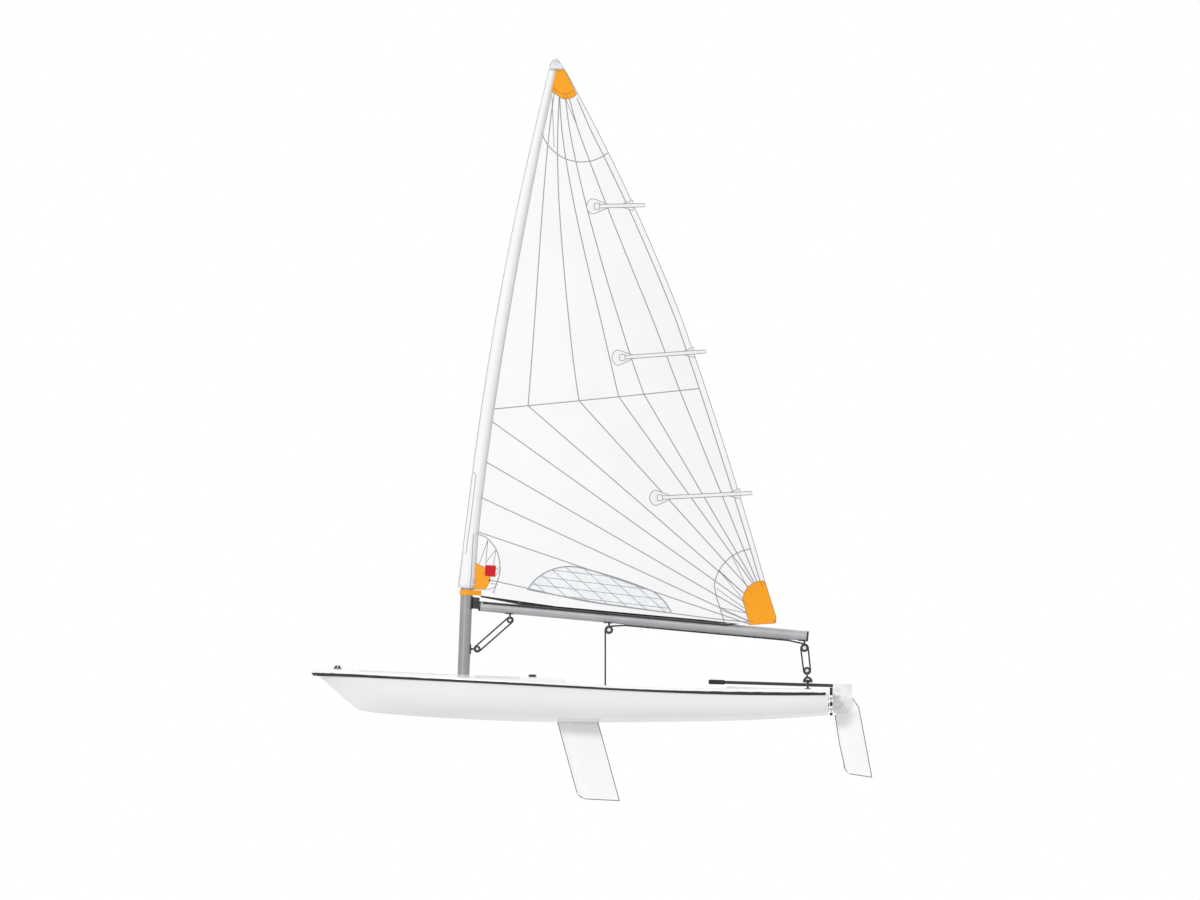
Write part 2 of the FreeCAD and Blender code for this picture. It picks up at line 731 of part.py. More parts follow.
save("boom", boom_run(cap_thick, boom_length - cap_thick, boom_d / 2)
     .cut(boom_run(cap_thick, boom_length - cap_thick, boom_d / 2 - spar_wall)))
gooseneck_pin_r = 8
neck_half = 13
plug_r = boom_d / 2 - spar_wall - fit_gap
front_cap = boom_run(0, cap_thick, boom_d / 2).fuse(boom_run(cap_thick, 60, plug_r))
save("boom_front_cap", front_cap.cut(boom_run(-10, 61, gooseneck_pin_r + fit_gap)).removeSplitter())
save("boom_end_cap", boom_run(boom_length - cap_thick, boom_length, boom_d / 2)
     .fuse(boom_run(boom_length - 60, boom_length - cap_thick, plug_r)).removeSplitter())


def mast_saddle(low, high, width, thick):
    """A plate wrapped on the back of the mast."""
    ring = cylinder(mast_axis_point(low), mast_axis_point(high), mast_d / 2 + thick)
    ring = ring.cut(cylinder(mast_axis_point(low - 10), mast_axis_point(high + 10),
                             mast_d / 2 + fit_gap / 2))
    centre = mast_line((low + high) / 2)
    return ring.common(box(centre - mast_d, centre - mast_d * 0.2, -width / 2, width / 2,
                           low - 10, high + 10))


gooseneck_low, gooseneck_high = boom_front[1] - 22, tack_strap_heights[0] - 8
gooseneck = mast_saddle(gooseneck_low, gooseneck_high, 70, 6)
neck = cylinder(on_boom(-36), on_boom(56), gooseneck_pin_r)
neck_clear = cylinder(mast_axis_point(gooseneck_low - 30), mast_axis_point(gooseneck_high + 30),
                      mast_d / 2 + 2)
neck_tail = boom_front[0] - 10
neck_block = side_prism([(mast_line(gooseneck_high), gooseneck_high - 1),
                         (mast_line(gooseneck_low), gooseneck_low + 6),
                         (neck_tail, gooseneck_low - 5), (neck_tail, gooseneck_high - 14)], neck_half)
neck_block = neck_block.cut([neck_clear, boom_run(-fit_gap, 60, boom_d / 2 + 5)])
save("gooseneck", gooseneck.fuse([neck.cut(neck_clear), neck_block]).removeSplitter())


# ---- blocks and what carries them ----
def tang(eye, root, width=tang_width):
    """An upright plate from a fitting (root) to a block's eye, bored for the eye's bar."""
    reach = V(eye.x - root.x, 0, eye.z - root.z)
    plate = Part.makeBox(reach.Length, 2 * tang_half, width, V(0, -tang_half, -width / 2))
    plate.rotate(V(0, 0, 0), V(0, 1, 0), -math.degrees(math.atan2(reach.z, reach.x)))
    plate.translate(root)
    boss = Part.makeCylinder(width / 2, 2 * tang_half, eye - V(0, tang_half, 0), V(0, 1, 0))
    return plate.fuse(boss).cut(eye_hole(eye))


def eye_hole(eye):
    return Part.makeCylinder(eye_bar_r + fit_gap, 60, eye - V(0, 30, 0), V(0, 1, 0))


def boom_height(x):
    slope = (boom_front[1] - boom_back[1]) / (boom_front[0] - boom_back[0])
    return boom_front[1] + (x - boom_front[0]) * slope


def boom_saddle(x, length=70, thick=boom_saddle_thick):
    """A plate wrapped on the underside of the boom."""
    start = (boom_front[0] - x) - length / 2
    ring = boom_run(start, start + length, boom_d / 2 + thick)
    ring = ring.cut(boom_run(start - 5, start + length + 5, boom_d / 2 + fit_gap / 2))
    axis = boom_height(x)
    return ring.common(box(x - length, x + length, -24, 24, axis - boom_d, axis - boom_d * 0.3))


def hang_on_boom(x, block_r):
    """A saddle and tang on the boom, the eye from which a block hangs, and the block's centre."""
    strap_end = 6
    below = boom_d / 2 + boom_saddle_thick + strap_end + 1
    eye = V(x, 0, boom_height(x) - below)
    centre = V(x, 0, eye.z - eye_reach(block_r))
    root = V(eye.x, 0, boom_height(eye.x) - boom_d / 2 - 2)
    hanger = boom_saddle(eye.x).fuse(tang(eye, root))
    hanger = hanger.cut(boom_run(0, boom_length, boom_d / 2 + fit_gap / 2))
    return hanger.removeSplitter(), eye, centre


low_eye = V(vang_low.x + eye_reach(vang_block_r), 0, vang_low.z)
bracket_tall = 80
bracket = mast_saddle(low_eye.z - bracket_tall / 2, low_eye.z + bracket_tall / 2, 44, 6)
bracket_root = V(mast_line(low_eye.z) - mast_d / 2 - 3, 0, low_eye.z)
save("vang_bracket", bracket.fuse(tang(low_eye, bracket_root)).removeSplitter())
save("vang_lower_block", block(vang_low, vang_block_r, vang_sheave_width, low_eye))
vang_hanger, high_eye, vang_high = hang_on_boom(vang_high_x, vang_block_r)
save("vang_hanger", vang_hanger)
save("vang_upper_block", block(vang_high, vang_block_r, vang_sheave_width, high_eye))

vang_run = (vang_high - vang_low).normalize()
vang_side = V(-vang_run.z, 0, vang_run.x) * groove_radius(vang_block_r)
vang_falls = [cylinder(vang_low + vang_side * s, vang_high + vang_side * s, rope_d / 2) for s in (-1, 1)]
save("vang_rope", Part.makeCompound(vang_falls))

for place, x in (("mid", mid_block_x), ("end", end_block_x)):
    hanger, eye, centre = hang_on_boom(x, sheet_block_r)
    save(place + "_sheet_hanger", hanger)
    save(place + "_sheet_block", block(centre, sheet_block_r, sheet_sheave_width, eye))

# ---- mainsheet and traveller on the hull ----
base_eye = V(ratchet_block.x, 0, ratchet_block.z - eye_reach(sheet_block_r))
base_plate = Part.makeCylinder(34, 6, V(ratchet_block.x, 0, well_floor + fit_gap))
save("ratchet_base", base_plate.fuse(tang(base_eye, V(base_eye.x, 0, well_floor + 4))).removeSplitter())
save("ratchet_block", block(ratchet_block, sheet_block_r, sheet_sheave_width, base_eye))

ring_half, ring_low, ring_high = 38, 332, 380
ring_hole_r, ring_width = 13, 14
ring_centre = V(-1914, 0, 350)    # the middle of its hole
fairlead_y = 285
traveller_d = 8


def make_traveller_ring():
    """The arched ring that slides on the traveller rope, with the tang for the tackle block above it."""
    x = ring_centre.x
    ring = side_prism([(x - ring_half, ring_low), (x, ring_high, True), (x + ring_half, ring_low)],
                      ring_width / 2)
    ring = ring.makeFillet(3, [edge for edge in ring.Edges if isinstance(edge.Curve, Part.Circle)])
    hole = Part.makeCylinder(ring_hole_r, ring_width, V(ring_centre.x, -ring_width / 2, ring_centre.z),
                             V(0, 1, 0))
    ring = ring.cut(hole)
    eye = V(tackle_block.x, 0, tackle_block.z - eye_reach(tackle_block_r))
    root = V(ring_centre.x, 0, ring_centre.z + ring_hole_r + 6)
    return ring.fuse(tang(eye, root)).cut(eye_hole(eye)).removeSplitter(), eye


ring, tackle_eye = make_traveller_ring()
save("traveller_ring", ring)
save("tackle_block", block(tackle_block, tackle_block_r, sheet_sheave_width, tackle_eye))

# the traveller rope runs level through the ring and both fairleads, with a knot outside each
rope_height = ring_centre.z - ring_hole_r + traveller_d / 2 + fit_gap
rope_ends = [V(ring_centre.x, side * (fairlead_y + 16), rope_height) for side in (-1, 1)]
rope = cylinder(rope_ends[0], rope_ends[1], traveller_d / 2)
save("traveller_rope", rope.fuse([Part.makeSphere(traveller_d, end) for end in rope_ends]).removeSplitter())

deck_raised = deck.copy()
deck_raised.translate(V(0, 0, fit_gap))


def deck_height(x, y):
    """Height of the deck's top at a place."""
    probe = deck.common(Part.makeLine(V(x, y, 0), V(x, y, 700)))
    return probe.BoundBox.ZMax


def seated(shape):
    """A fitting cut to the deck's own surface, a seating gap above it."""
    return largest(shape.cut(deck_raised))


def make_fairlead(side):
    y = side * fairlead_y
    foot = deck_height(ring_centre.x, y)
    base = box(ring_centre.x - 26, ring_centre.x + 26, y - 15, y + 15, foot - 6, foot + 6)
    stem = box(ring_centre.x - 9, ring_centre.x + 9, y - 7, y + 7, foot, rope_height)
    eye = Part.makeCylinder(15, 14, V(ring_centre.x, y - 7, rope_height), V(0, 1, 0))
    hole = Part.makeCylinder(traveller_d / 2 + 1, 40, V(ring_centre.x, y - 20, rope_height), V(0, 1, 0))
    return seated(base.fuse([stem, eye]).cut(hole).removeSplitter())


save("fairlead_port", make_fairlead(1))
save("fairlead_starboard", make_fairlead(-1))

# ---- deck and hull fittings ----
bow_eye_x, bow_eye_length, bow_eye_rise, bow_eye_thick, bow_eye_r = 1895, 66, 26, 10, 5.5


def make_bow_eye():
    top = deck_height(bow_eye_x, 0)
    half = bow_eye_length / 2
    loop = side_prism([(bow_eye_x - half, top - 4), (bow_eye_x - half, top + 5),
                       (bow_eye_x - 16, top + bow_eye_rise), (bow_eye_x + 16, top + bow_eye_rise),
                       (bow_eye_x + half, top + 5), (bow_eye_x + half, top - 4)],
                      bow_eye_thick / 2)
    base = box(bow_eye_x - half, bow_eye_x + half, -14, 14, top - 4, top + 4)
    hole = Part.makeCylinder(bow_eye_r, 60, V(bow_eye_x, -30, top + 14), V(0, 1, 0))
    return seated(base.fuse(loop).cut(hole).removeSplitter())


save("bow_eye", make_bow_eye())

cleat_x0, cleat_x1 = 281, 352
cleat_spread = 34
cleat_top = deck_height((cleat_x0 + cleat_x1) / 2, 0)
plate = box(cleat_x0, cleat_x1, -62, 62, cleat_top - 14, cleat_top + 4)
save("cleat_plate", seated(plate))
cleats = []
for side in (-1, 1):
    y = side * cleat_spread
    body = box(cleat_x0 + 6, cleat_x1 - 6, y - 13, y + 13, cleat_top + 4 + fit_gap, cleat_top + 20)
    body = body.makeFillet(5, [edge for edge in body.Edges if edge.BoundBox.ZMin > cleat_top + 19])
    channel = box(cleat_x0, cleat_x1, y - 4, y + 4, cleat_top + 11, cleat_top + 30)
    cleats.append(body.cut(channel))
save("control_cleats", Part.makeCompound(cleats))

strap_front, strap_back = -390, well_back - 10
strap_half, strap_thick = 26, 3
strap_rise = 120
strap = side_prism([(strap_front, well_floor + 12), (strap_front, well_floor + 12 + strap_thick),
                    (strap_back, well_floor + strap_rise + strap_thick),
                    (strap_back, well_floor + strap_rise)], strap_half)
deck_back = deck.copy()
deck_back.translate(V(fit_gap, 0, 0))
save("hiking_strap", largest(strap.cut(deck_back)))
save("hiking_strap_plate", box(strap_front - 8, strap_front + 42, -30, 30,
                               well_floor + fit_gap, well_floor + 7))

bailer_x = -1010
save("self_bailer", box(bailer_x - 55, bailer_x + 55, 120, 168, well_floor + fit_gap, well_floor + 6))
plug_height = 150
plug_y = -150
save("drain_plug", Part.makeCylinder(17, 7, V(transom_x - fit_gap, plug_y, plug_height), V(-1, 0, 0)))


# ---- sail ----
def over_joint(points):
    """An outline given over the mast joint, as heights above the keel line."""
    return [(point[0], point[1] + joint_height) + tuple(point[2:]) for point in points]


def camber_section(x_luff, h_luff, x_leech, h_leech, depth, y_low, y_high):
    a, b = V(x_luff, 0, h_luff + joint_height), V(x_leech, 0, h_leech + joint_height)
    middle = (a + b) * 0.5 + V(0, depth, 0)
    up, low = V(0, y_high, 0), V(0, y_low, 0)
    edges = [Part.Arc(a + up, middle + up, b + up).toShape(),
             Part.makeLine(b + up, b + low),
             Part.Arc(b + low, middle + low, a + low).toShape(),
             Part.makeLine(a + low, a + up)]
    return Part.Wire(edges)


def sail_layer(y_low, y_high):
    """A layer of the cambered sail between two offsets to port."""
    return loft([camber_section(*row, y_low, y_high) for row in sail_sections])


def grown(outline, margin):
    """A four-cornered outline moved out by a margin on every side."""
    middle_x = sum(point[0] for point in outline) / len(outline)
    middle_h = sum(point[1] for point in outline) / len(outline)
    return [(x + math.copysign(margin, x - middle_x), h + math.copysign(margin, h - middle_h))
            for x, h in outline]


def cut_layer(y_low, y_high, outline):
    layer = sail_layer(y_low, y_high).common(side_prism(outline, 400))
    return largest(layer.cut([sleeve_clear, mast_clear]))


sleeve_start = -46
sleeve_stop = upper_length - 14
sleeve_outer = mast_skin(sleeve_gap + sleeve_wall, sleeve_start, sleeve_stop, sleeve_flare)
sleeve_inner = mast_skin(sleeve_gap, sleeve_start - 1, sleeve_stop + 1, sleeve_flare)
save("luff_sleeve", sleeve_outer.cut(sleeve_inner))
sleeve_clear = mast_skin(sleeve_gap + sleeve_wall + fit_gap, sleeve_start - 1, sleeve_stop + 1,
                         sleeve_flare)
mast_clear = cylinder(mast_axis_point(lower_top - 200), mast_axis_point(joint_height), mast_d / 2 + fit_gap)
top_point = upper_mast_point(upper_length)[0]

luff_points = [upper_mast_point(d)[0] for d in (4200, 3200, 2200, 1200, 300, -30)]
luff_line = [(point.x, point.z) for point in luff_points]
sail_outline = over_joint(sail_leech_and_foot) + luff_line[::-1]
half = cloth_thick / 2
window_prism = side_prism(over_joint(window_outline), 400)
save("sail_cloth", largest(cut_layer(-half, half, sail_outline).cut(window_prism)))
save("sail_window", largest(sail_layer(-film_thick / 2, film_thick / 2).common(window_prism)))

layer_low = half + fit_gap
# the tag is sewn into the tack patch's aft edge on the port side
tag_seat = side_prism(over_joint(grown(tag_outline, fit_gap)), 400)
for name, outline in patch_outlines.items():
    outline = over_joint(outline)
    both = [largest(cut_layer(layer_low, layer_low + patch_thick, outline).cut(tag_seat)),
            cut_layer(-layer_low - patch_thick, -layer_low, outline)]
    save(name, Part.makeCompound(both))
save("tack_tag", cut_layer(layer_low, layer_low + patch_thick, over_joint(tag_outline)))

for name, (nose, tail) in batten_runs.items():
    outline = [(nose[0], nose[1] + batten_half), (nose[0], nose[1] - batten_half),
               (tail[0], tail[1] - batten_half), (tail[0], tail[1] + batten_half)]
    save(name, cut_layer(layer_low, layer_low + batten_thick, over_joint(outline)))

# the cap sits over the mast's top and on the sleeve's end
cap = side_prism([(top_point.x + point[0], top_point.z + point[1]) + point[2:] for point in cap_outline],
                 cap_half_width)
cap = cap.cut(mast_skin(fit_gap, sleeve_stop - 200, upper_length + fit_gap))
cap = cap.cut(mast_skin(sleeve_gap + sleeve_wall + fit_gap, sleeve_stop - 200, sleeve_stop + fit_gap))
save("masthead_cap", largest(cap))
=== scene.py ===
import json
import math

import bpy
import numpy as np
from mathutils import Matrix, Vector, noise
from mathutils.bvhtree import BVHTree
from mathutils.geometry import delaunay_2d_cdt


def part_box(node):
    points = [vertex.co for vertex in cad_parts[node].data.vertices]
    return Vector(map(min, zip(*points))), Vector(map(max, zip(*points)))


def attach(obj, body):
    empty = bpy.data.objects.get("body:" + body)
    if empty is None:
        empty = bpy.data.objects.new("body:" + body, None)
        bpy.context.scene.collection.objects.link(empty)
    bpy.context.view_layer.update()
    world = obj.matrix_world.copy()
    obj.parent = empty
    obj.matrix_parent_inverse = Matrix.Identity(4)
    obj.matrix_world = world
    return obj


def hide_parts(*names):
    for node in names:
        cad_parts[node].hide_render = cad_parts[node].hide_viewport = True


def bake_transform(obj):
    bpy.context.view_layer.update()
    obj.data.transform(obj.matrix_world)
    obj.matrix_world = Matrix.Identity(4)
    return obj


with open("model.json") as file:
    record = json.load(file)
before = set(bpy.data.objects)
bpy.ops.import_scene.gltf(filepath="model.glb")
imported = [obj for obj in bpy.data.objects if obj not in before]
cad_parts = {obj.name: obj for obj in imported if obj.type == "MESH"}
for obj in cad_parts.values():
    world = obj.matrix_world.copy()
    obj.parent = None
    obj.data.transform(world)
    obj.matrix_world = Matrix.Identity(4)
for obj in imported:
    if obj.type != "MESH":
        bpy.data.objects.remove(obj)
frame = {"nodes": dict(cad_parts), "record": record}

# A single-handed dinghy with her sail sheeted in. +X is the bow, +Y is port, and z = 0 is the water.
# Sizes and places are in metres.
scene = bpy.context.scene
nodes = frame["nodes"]
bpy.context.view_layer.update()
print("frame loaded:", len(nodes), "pieces")


# shader helpers
def feed(tree, node, values):
    # an output is linked to the input, and a number or colour is set on the input itself
    for label, value in values.items():
        socket = node.inputs[label]
        if isinstance(value, bpy.types.NodeSocket):
            tree.links.new(value, socket)
        elif socket.type == "RGBA":
            socket.default_value = (*value, 1.0)
        else:
            socket.default_value = value


def addNode(tree, kind, values=None, **settings):
    node = tree.nodes.new("ShaderNode" + kind)
    for name, setting in settings.items():
        setattr(node, name, setting)
    feed(tree, node, values or {})
    return node


def addMath(tree, operation, *values):
    return addNode(tree, "Math", dict(enumerate(values)), operation=operation).outputs[0]


def times(tree, first, second):
    return addMath(tree, "MULTIPLY", first, second)


def ridges(tree, value, factor=math.pi):
    # rounded ridges, one for each time that value times factor grows by pi
    return addMath(tree, "ABSOLUTE", addMath(tree, "SINE", times(tree, value, factor)))


def addNoise(tree, vector, scale, detail=3.0, roughness=0.55):
    values = {"Vector": vector, "Scale": scale, "Detail": detail, "Roughness": roughness}
    return addNode(tree, "TexNoise", values).outputs["Fac"]


def addMapping(tree, vector, scale):
    return addNode(tree, "Mapping", {"Vector": vector, "Scale": scale}).outputs["Vector"]


def addRange(tree, value, low, high, toLow=0.0, toHigh=1.0):
    values = {"Value": value, "From Min": low, "From Max": high, "To Min": toLow, "To Max": toHigh}
    return addNode(tree, "MapRange", values).outputs["Result"]


def spread(tree, value, toLow=0.0, toHigh=1.0, within=(0.3, 0.7)):
    # most of a noise lies within these two values
    return addRange(tree, value, *within, toLow, toHigh)


def between(tree, value, low, high, soft=0.004):
    rise = addRange(tree, value, low, low + soft)
    return times(tree, rise, addRange(tree, value, high - soft, high, 1.0, 0.0))


def splitVector(tree, vector):
    return addNode(tree, "SeparateXYZ", {0: vector}).outputs


def objectCoordinates(tree):
    return addNode(tree, "TexCoord").outputs["Object"]


def meshPlaces(tree, name):
    # the three numbers that a mesh keeps at each point under this name
    return splitVector(tree, addNode(tree, "Attribute", attribute_name=name).outputs["Vector"])


def mixColours(tree, mask, first, second):
    return addNode(tree, "Mix", {"Factor": mask, 6: first, 7: second}, data_type="RGBA").outputs[2]


def bumpFrom(tree, height, distance, after=None):
    values = {"Height": height, "Distance": distance, "Strength": 1.0}
    if after is not None:
        values["Normal"] = after
    return addNode(tree, "Bump", values).outputs["Normal"]


# effects that several materials share
def newGroup(name, inputs, outputs):
    # inputs are names with their first values, None for a vector, and outputs are names of values
    group = bpy.data.node_groups.new(name, "ShaderNodeTree")
    for label, value in inputs.items():
        kind = "NodeSocketVector" if value is None else "NodeSocketFloat"
        socket = group.interface.new_socket(label, in_out="INPUT", socket_type=kind)
        if value is not None:
            socket.default_value = value
    for label in outputs:
        group.interface.new_socket(label, in_out="OUTPUT", socket_type="NodeSocketFloat")
    return group, group.nodes.new("NodeGroupInput").outputs, group.nodes.new("NodeGroupOutput")


def place(tree, group, values):
    return addNode(tree, "Group", values, node_tree=group).outputs


def makeSpeckle():
    # soft unevenness of a moulded or polished face: a slow cloud and a fine grain
    group, given, end = newGroup(
        "surfaceSpeckle", {"Vector": None, "Cloud Size": 3.0, "Grain Size": 400.0}, ("Cloud", "Grain"))
    for label, detail in (("Cloud", 2.0), ("Grain", 4.0)):
        marks = addNoise(group, given["Vector"], given[label + " Size"], detail, roughness=0.5)
        feed(group, end, {label: marks})
    return group


def makeScuffs():
    # sparse long scratches and rubbed spots, as a mask
    group, given, end = newGroup("lightScuffs", {"Vector": None, "Amount": 0.5}, ("Mask",))
    long = addMapping(group, given["Vector"], scale=(4.0, 60.0, 60.0))
    lines = addRange(group, addNoise(group, long, scale=3.0, detail=2.0), 0.62, 0.70)
    spots = addRange(group, addNoise(group, given["Vector"], scale=9.0, detail=5.0), 0.52, 0.72)
    feed(group, end, {"Mask": times(group, times(group, lines, spots), given["Amount"])})
    return group


def makeWeave():
    # plain weave in two directions across the sail's plane
    group, given, end = newGroup("plainWeave", {"Vector": None, "Pitch": 0.002}, ("Height", "Shade"))
    split = splitVector(group, given["Vector"])
    warp, weft = (ridges(group, addMath(group, "DIVIDE", split[axis], given["Pitch"])) for axis in "XZ")
    cloud = addNoise(group, given["Vector"], scale=2.2, detail=4.0)
    feed(group, end, {"Height": times(group, warp, weft), "Shade": spread(group, cloud)})
    return group


def makeBraid():
    # crossing strands round a rope, from its own length and angle
    group, given, end = newGroup(
        "ropeBraid", {"Around": 0.0, "Along": 0.0, "Strands": 6.0, "Lay": 0.012}, ("Height", "Fleck"))
    turn = times(group, given["Around"], given["Strands"])
    run = addMath(group, "DIVIDE", given["Along"], given["Lay"])
    one, other = (ridges(group, addMath(group, way, turn, run)) for way in ("ADD", "SUBTRACT"))
    fleck = addMath(group, "GREATER_THAN", one, 0.93)
    feed(group, end, {"Height": times(group, one, other), "Fleck": fleck})
    return group


def makeStitches():
    # a zigzag row of thread along a seam: across is -1 to 1, along is in metres
    first = {"Across": 0.0, "Along": 0.0, "Stitch": 0.006, "Swing": 0.55, "Thread": 0.3}
    group, given, end = newGroup("zigzagStitch", first, ("Mask",))
    saw = addMath(group, "PINGPONG", addMath(group, "DIVIDE", given["Along"], given["Stitch"]), 1.0)
    swing = times(group, addMath(group, "MULTIPLY_ADD", saw, 2.0, -1.0), given["Swing"])
    away = addMath(group, "ABSOLUTE", addMath(group, "SUBTRACT", given["Across"], swing))
    feed(group, end, {"Mask": addMath(group, "LESS_THAN", away, given["Thread"])})
    return group


speckle = makeSpeckle()
scuffs = makeScuffs()
weave = makeWeave()
braid = makeBraid()
stitches = makeStitches()


# materials
def startMaterial(name):
    material = bpy.data.materials.new(name)
    material.use_nodes = True
    tree = material.node_tree
    return material, tree, tree.nodes["Principled BSDF"]


def toned(colour, share):
    return tuple(value * share for value in colour)


gelcoatLook = {
    "colour": (0.885, 0.886, 0.886), "shade": (0.86, 0.862, 0.863), "roughness": (0.22, 0.34),
    "scuffs": 0.35, "scuffColour": (0.62, 0.62, 0.62), "coat": 0.35, "coatRoughness": 0.12,
    "cloudSize": 1.6, "cloudSpan": (0.35, 0.65), "grainSize": 260.0, "grainDepth": 0.00012,
    "nonSlipColour": (0.77, 0.773, 0.775), "nonSlipPitch": 0.008, "nonSlipDepth": 0.0006,
    "nonSlipRoughness": (0.28, 0.6), "diamonds": (0.2, 0.5), "levelFrom": (0.85, 0.95),
    # the deck's non-slip panels: x from and to, distance from the centreline from and to
    "panels": [(-1.16, 0.0, 0.32, 0.60), (0.42, 0.78, 0.09, 0.50), (1.0, 1.72, 0.05, 0.30),
               (-1.86, -1.32, 0.05, 0.44)],
}
# A dark grey band is painted along the outlines of the two foils, as painted shade of their rounded edges:
# lines through two points, each x and height.
foilShadeOutlines = {
    "daggerboard": [((0.113, -0.067), (-0.058, -0.691)), ((-0.035, -0.638), (-0.133, -0.704)),
                    ((-0.136, -0.683), (-0.451, -0.699)), ((-0.220, -0.067), (-0.391, -0.691))],
    "rudder_blade": [((-2.106, 0.163), (-2.214, -0.527)), ((-2.117, -0.009), (-2.204, -0.397)),
                     ((-2.193, -0.411), (-2.251, -0.494)), ((-2.262, -0.480), (-2.437, -0.507)),
                     ((-2.331, 0.063), (-2.437, -0.507)), ((-2.279, 0.140), (-2.331, 0.063))],
}
outlineShadeLook = {"width": (0.0055, 0.0085), "colour": (0.13, 0.13, 0.135)}


def outlineShadeMask(tree, coordinates, lines):
    # nearness to the foils' outlines, for the band of painted edge shade
    split = splitVector(tree, coordinates)
    nearest = None
    for (startX, startZ), (endX, endZ) in lines:
        length = math.hypot(endX - startX, endZ - startZ)
        acrossX, acrossZ = (endZ - startZ) / length, (startX - endX) / length
        offset = -(startX * acrossX + startZ * acrossZ)
        partX = addMath(tree, "MULTIPLY_ADD", split["X"], acrossX, offset)
        away = addMath(tree, "ABSOLUTE", addMath(tree, "MULTIPLY_ADD", split["Z"], acrossZ, partX))
        nearest = away if nearest is None else addMath(tree, "MINIMUM", nearest, away)
    return addRange(tree, nearest, *outlineShadeLook["width"], 1.0, 0.0)


def nonSlipMasks(tree, coordinates):
    # where the deck's panels are, and the diamonds on them
    look = gelcoatLook
    split = splitVector(tree, coordinates)
    away = addMath(tree, "ABSOLUTE", split["Y"])
    rows = [ridges(tree, addMath(tree, way, split["X"], split["Y"]), math.pi / look["nonSlipPitch"])
            for way in ("ADD", "SUBTRACT")]
    panels = None
    for xLow, xHigh, yLow, yHigh in look["panels"]:
        panel = times(tree, between(tree, split["X"], xLow, xHigh), between(tree, away, yLow, yHigh))
        panels = panel if panels is None else addMath(tree, "MAXIMUM", panels, panel)
    upward = splitVector(tree, addNode(tree, "NewGeometry").outputs["Normal"])["Z"]
    diamonds = addRange(tree, times(tree, *rows), *look["diamonds"])
    return times(tree, panels, addRange(tree, upward, *look["levelFrom"])), diamonds


def makeGelcoat(name, nonSlip=False, edges=None):
    look = gelcoatLook
    material, tree, shader = startMaterial(name)
    coordinates = objectCoordinates(tree)
    marks = place(tree, speckle, {"Vector": coordinates, "Cloud Size": look["cloudSize"],
                                  "Grain Size": look["grainSize"]})
    cloud = spread(tree, marks["Cloud"], within=look["cloudSpan"])
    colour = mixColours(tree, cloud, look["colour"], look["shade"])
    normal = bumpFrom(tree, marks["Grain"], look["grainDepth"])
    if nonSlip:
        panels, diamonds = nonSlipMasks(tree, coordinates)
        colour = mixColours(tree, panels, colour, look["nonSlipColour"])
        normal = bumpFrom(tree, times(tree, diamonds, panels), look["nonSlipDepth"], after=normal)
        rough = addRange(tree, panels, 0.0, 1.0, *look["nonSlipRoughness"])
        coat = addRange(tree, panels, 0.0, 1.0, look["coat"], 0.0)
    else:
        rubbed = place(tree, scuffs, {"Vector": coordinates, "Amount": look["scuffs"]})["Mask"]
        colour = mixColours(tree, rubbed, colour, look["scuffColour"])
        rough = spread(tree, marks["Cloud"], *look["roughness"])
        coat = look["coat"]
    # painted shade: a dark band along the foils' outlines
    if edges is not None:
        colour = mixColours(tree, outlineShadeMask(tree, coordinates, edges), colour, outlineShadeLook["colour"])
    feed(tree, shader, {"Base Color": colour, "Roughness": rough, "Normal": normal, "Coat Weight": coat,
                        "Coat Roughness": look["coatRoughness"]})
    return material


metalMarks = {"grainSize": 900.0, "grainSpan": (0.2, 0.8), "grainDepth": 0.00005, "cloudSize": 5.0,
              "cloudSpan": (0.35, 0.65), "rubbed": 0.5, "rubbedTone": 1.35}
metalLook = {
    "sparGrey": {"colour": (0.335, 0.335, 0.339), "dark": (0.292, 0.292, 0.296), "roughness": (0.31, 0.48),
                 "stretch": (1.0, 1.0, 0.02), "metallic": 0.35},
    "boomGrey": {"colour": (0.44, 0.44, 0.45), "dark": (0.385, 0.385, 0.395), "roughness": (0.29, 0.46),
                 "stretch": (0.02, 1.0, 1.0), "metallic": 0.35},
    "stainless": {"colour": (0.60, 0.61, 0.62), "dark": (0.50, 0.51, 0.53), "roughness": (0.21, 0.38),
                  "stretch": (1.0, 1.0, 0.1), "metallic": 0.85},
}


def makeMetal(name):
    # drawn or brushed metal: a grain that runs along the piece, with rubbed spots
    look, marks = metalLook[name], metalMarks
    material, tree, shader = startMaterial(name)
    coordinates = objectCoordinates(tree)
    grain = addNoise(tree, addMapping(tree, coordinates, look["stretch"]), marks["grainSize"], detail=2.0)
    cloud = addNoise(tree, coordinates, marks["cloudSize"], detail=4.0)
    rubbed = place(tree, scuffs, {"Vector": coordinates, "Amount": marks["rubbed"]})["Mask"]
    cloud = spread(tree, cloud, within=marks["cloudSpan"])
    colour = mixColours(tree, cloud, look["colour"], look["dark"])
    colour = mixColours(tree, rubbed, colour, toned(look["colour"], marks["rubbedTone"]))
    feed(tree, shader, {"Base Color": colour, "Metallic": look["metallic"],
                        "Roughness": spread(tree, grain, *look["roughness"], marks["grainSpan"]),
                        "Normal": bumpFrom(tree, grain, marks["grainDepth"])})
    return material


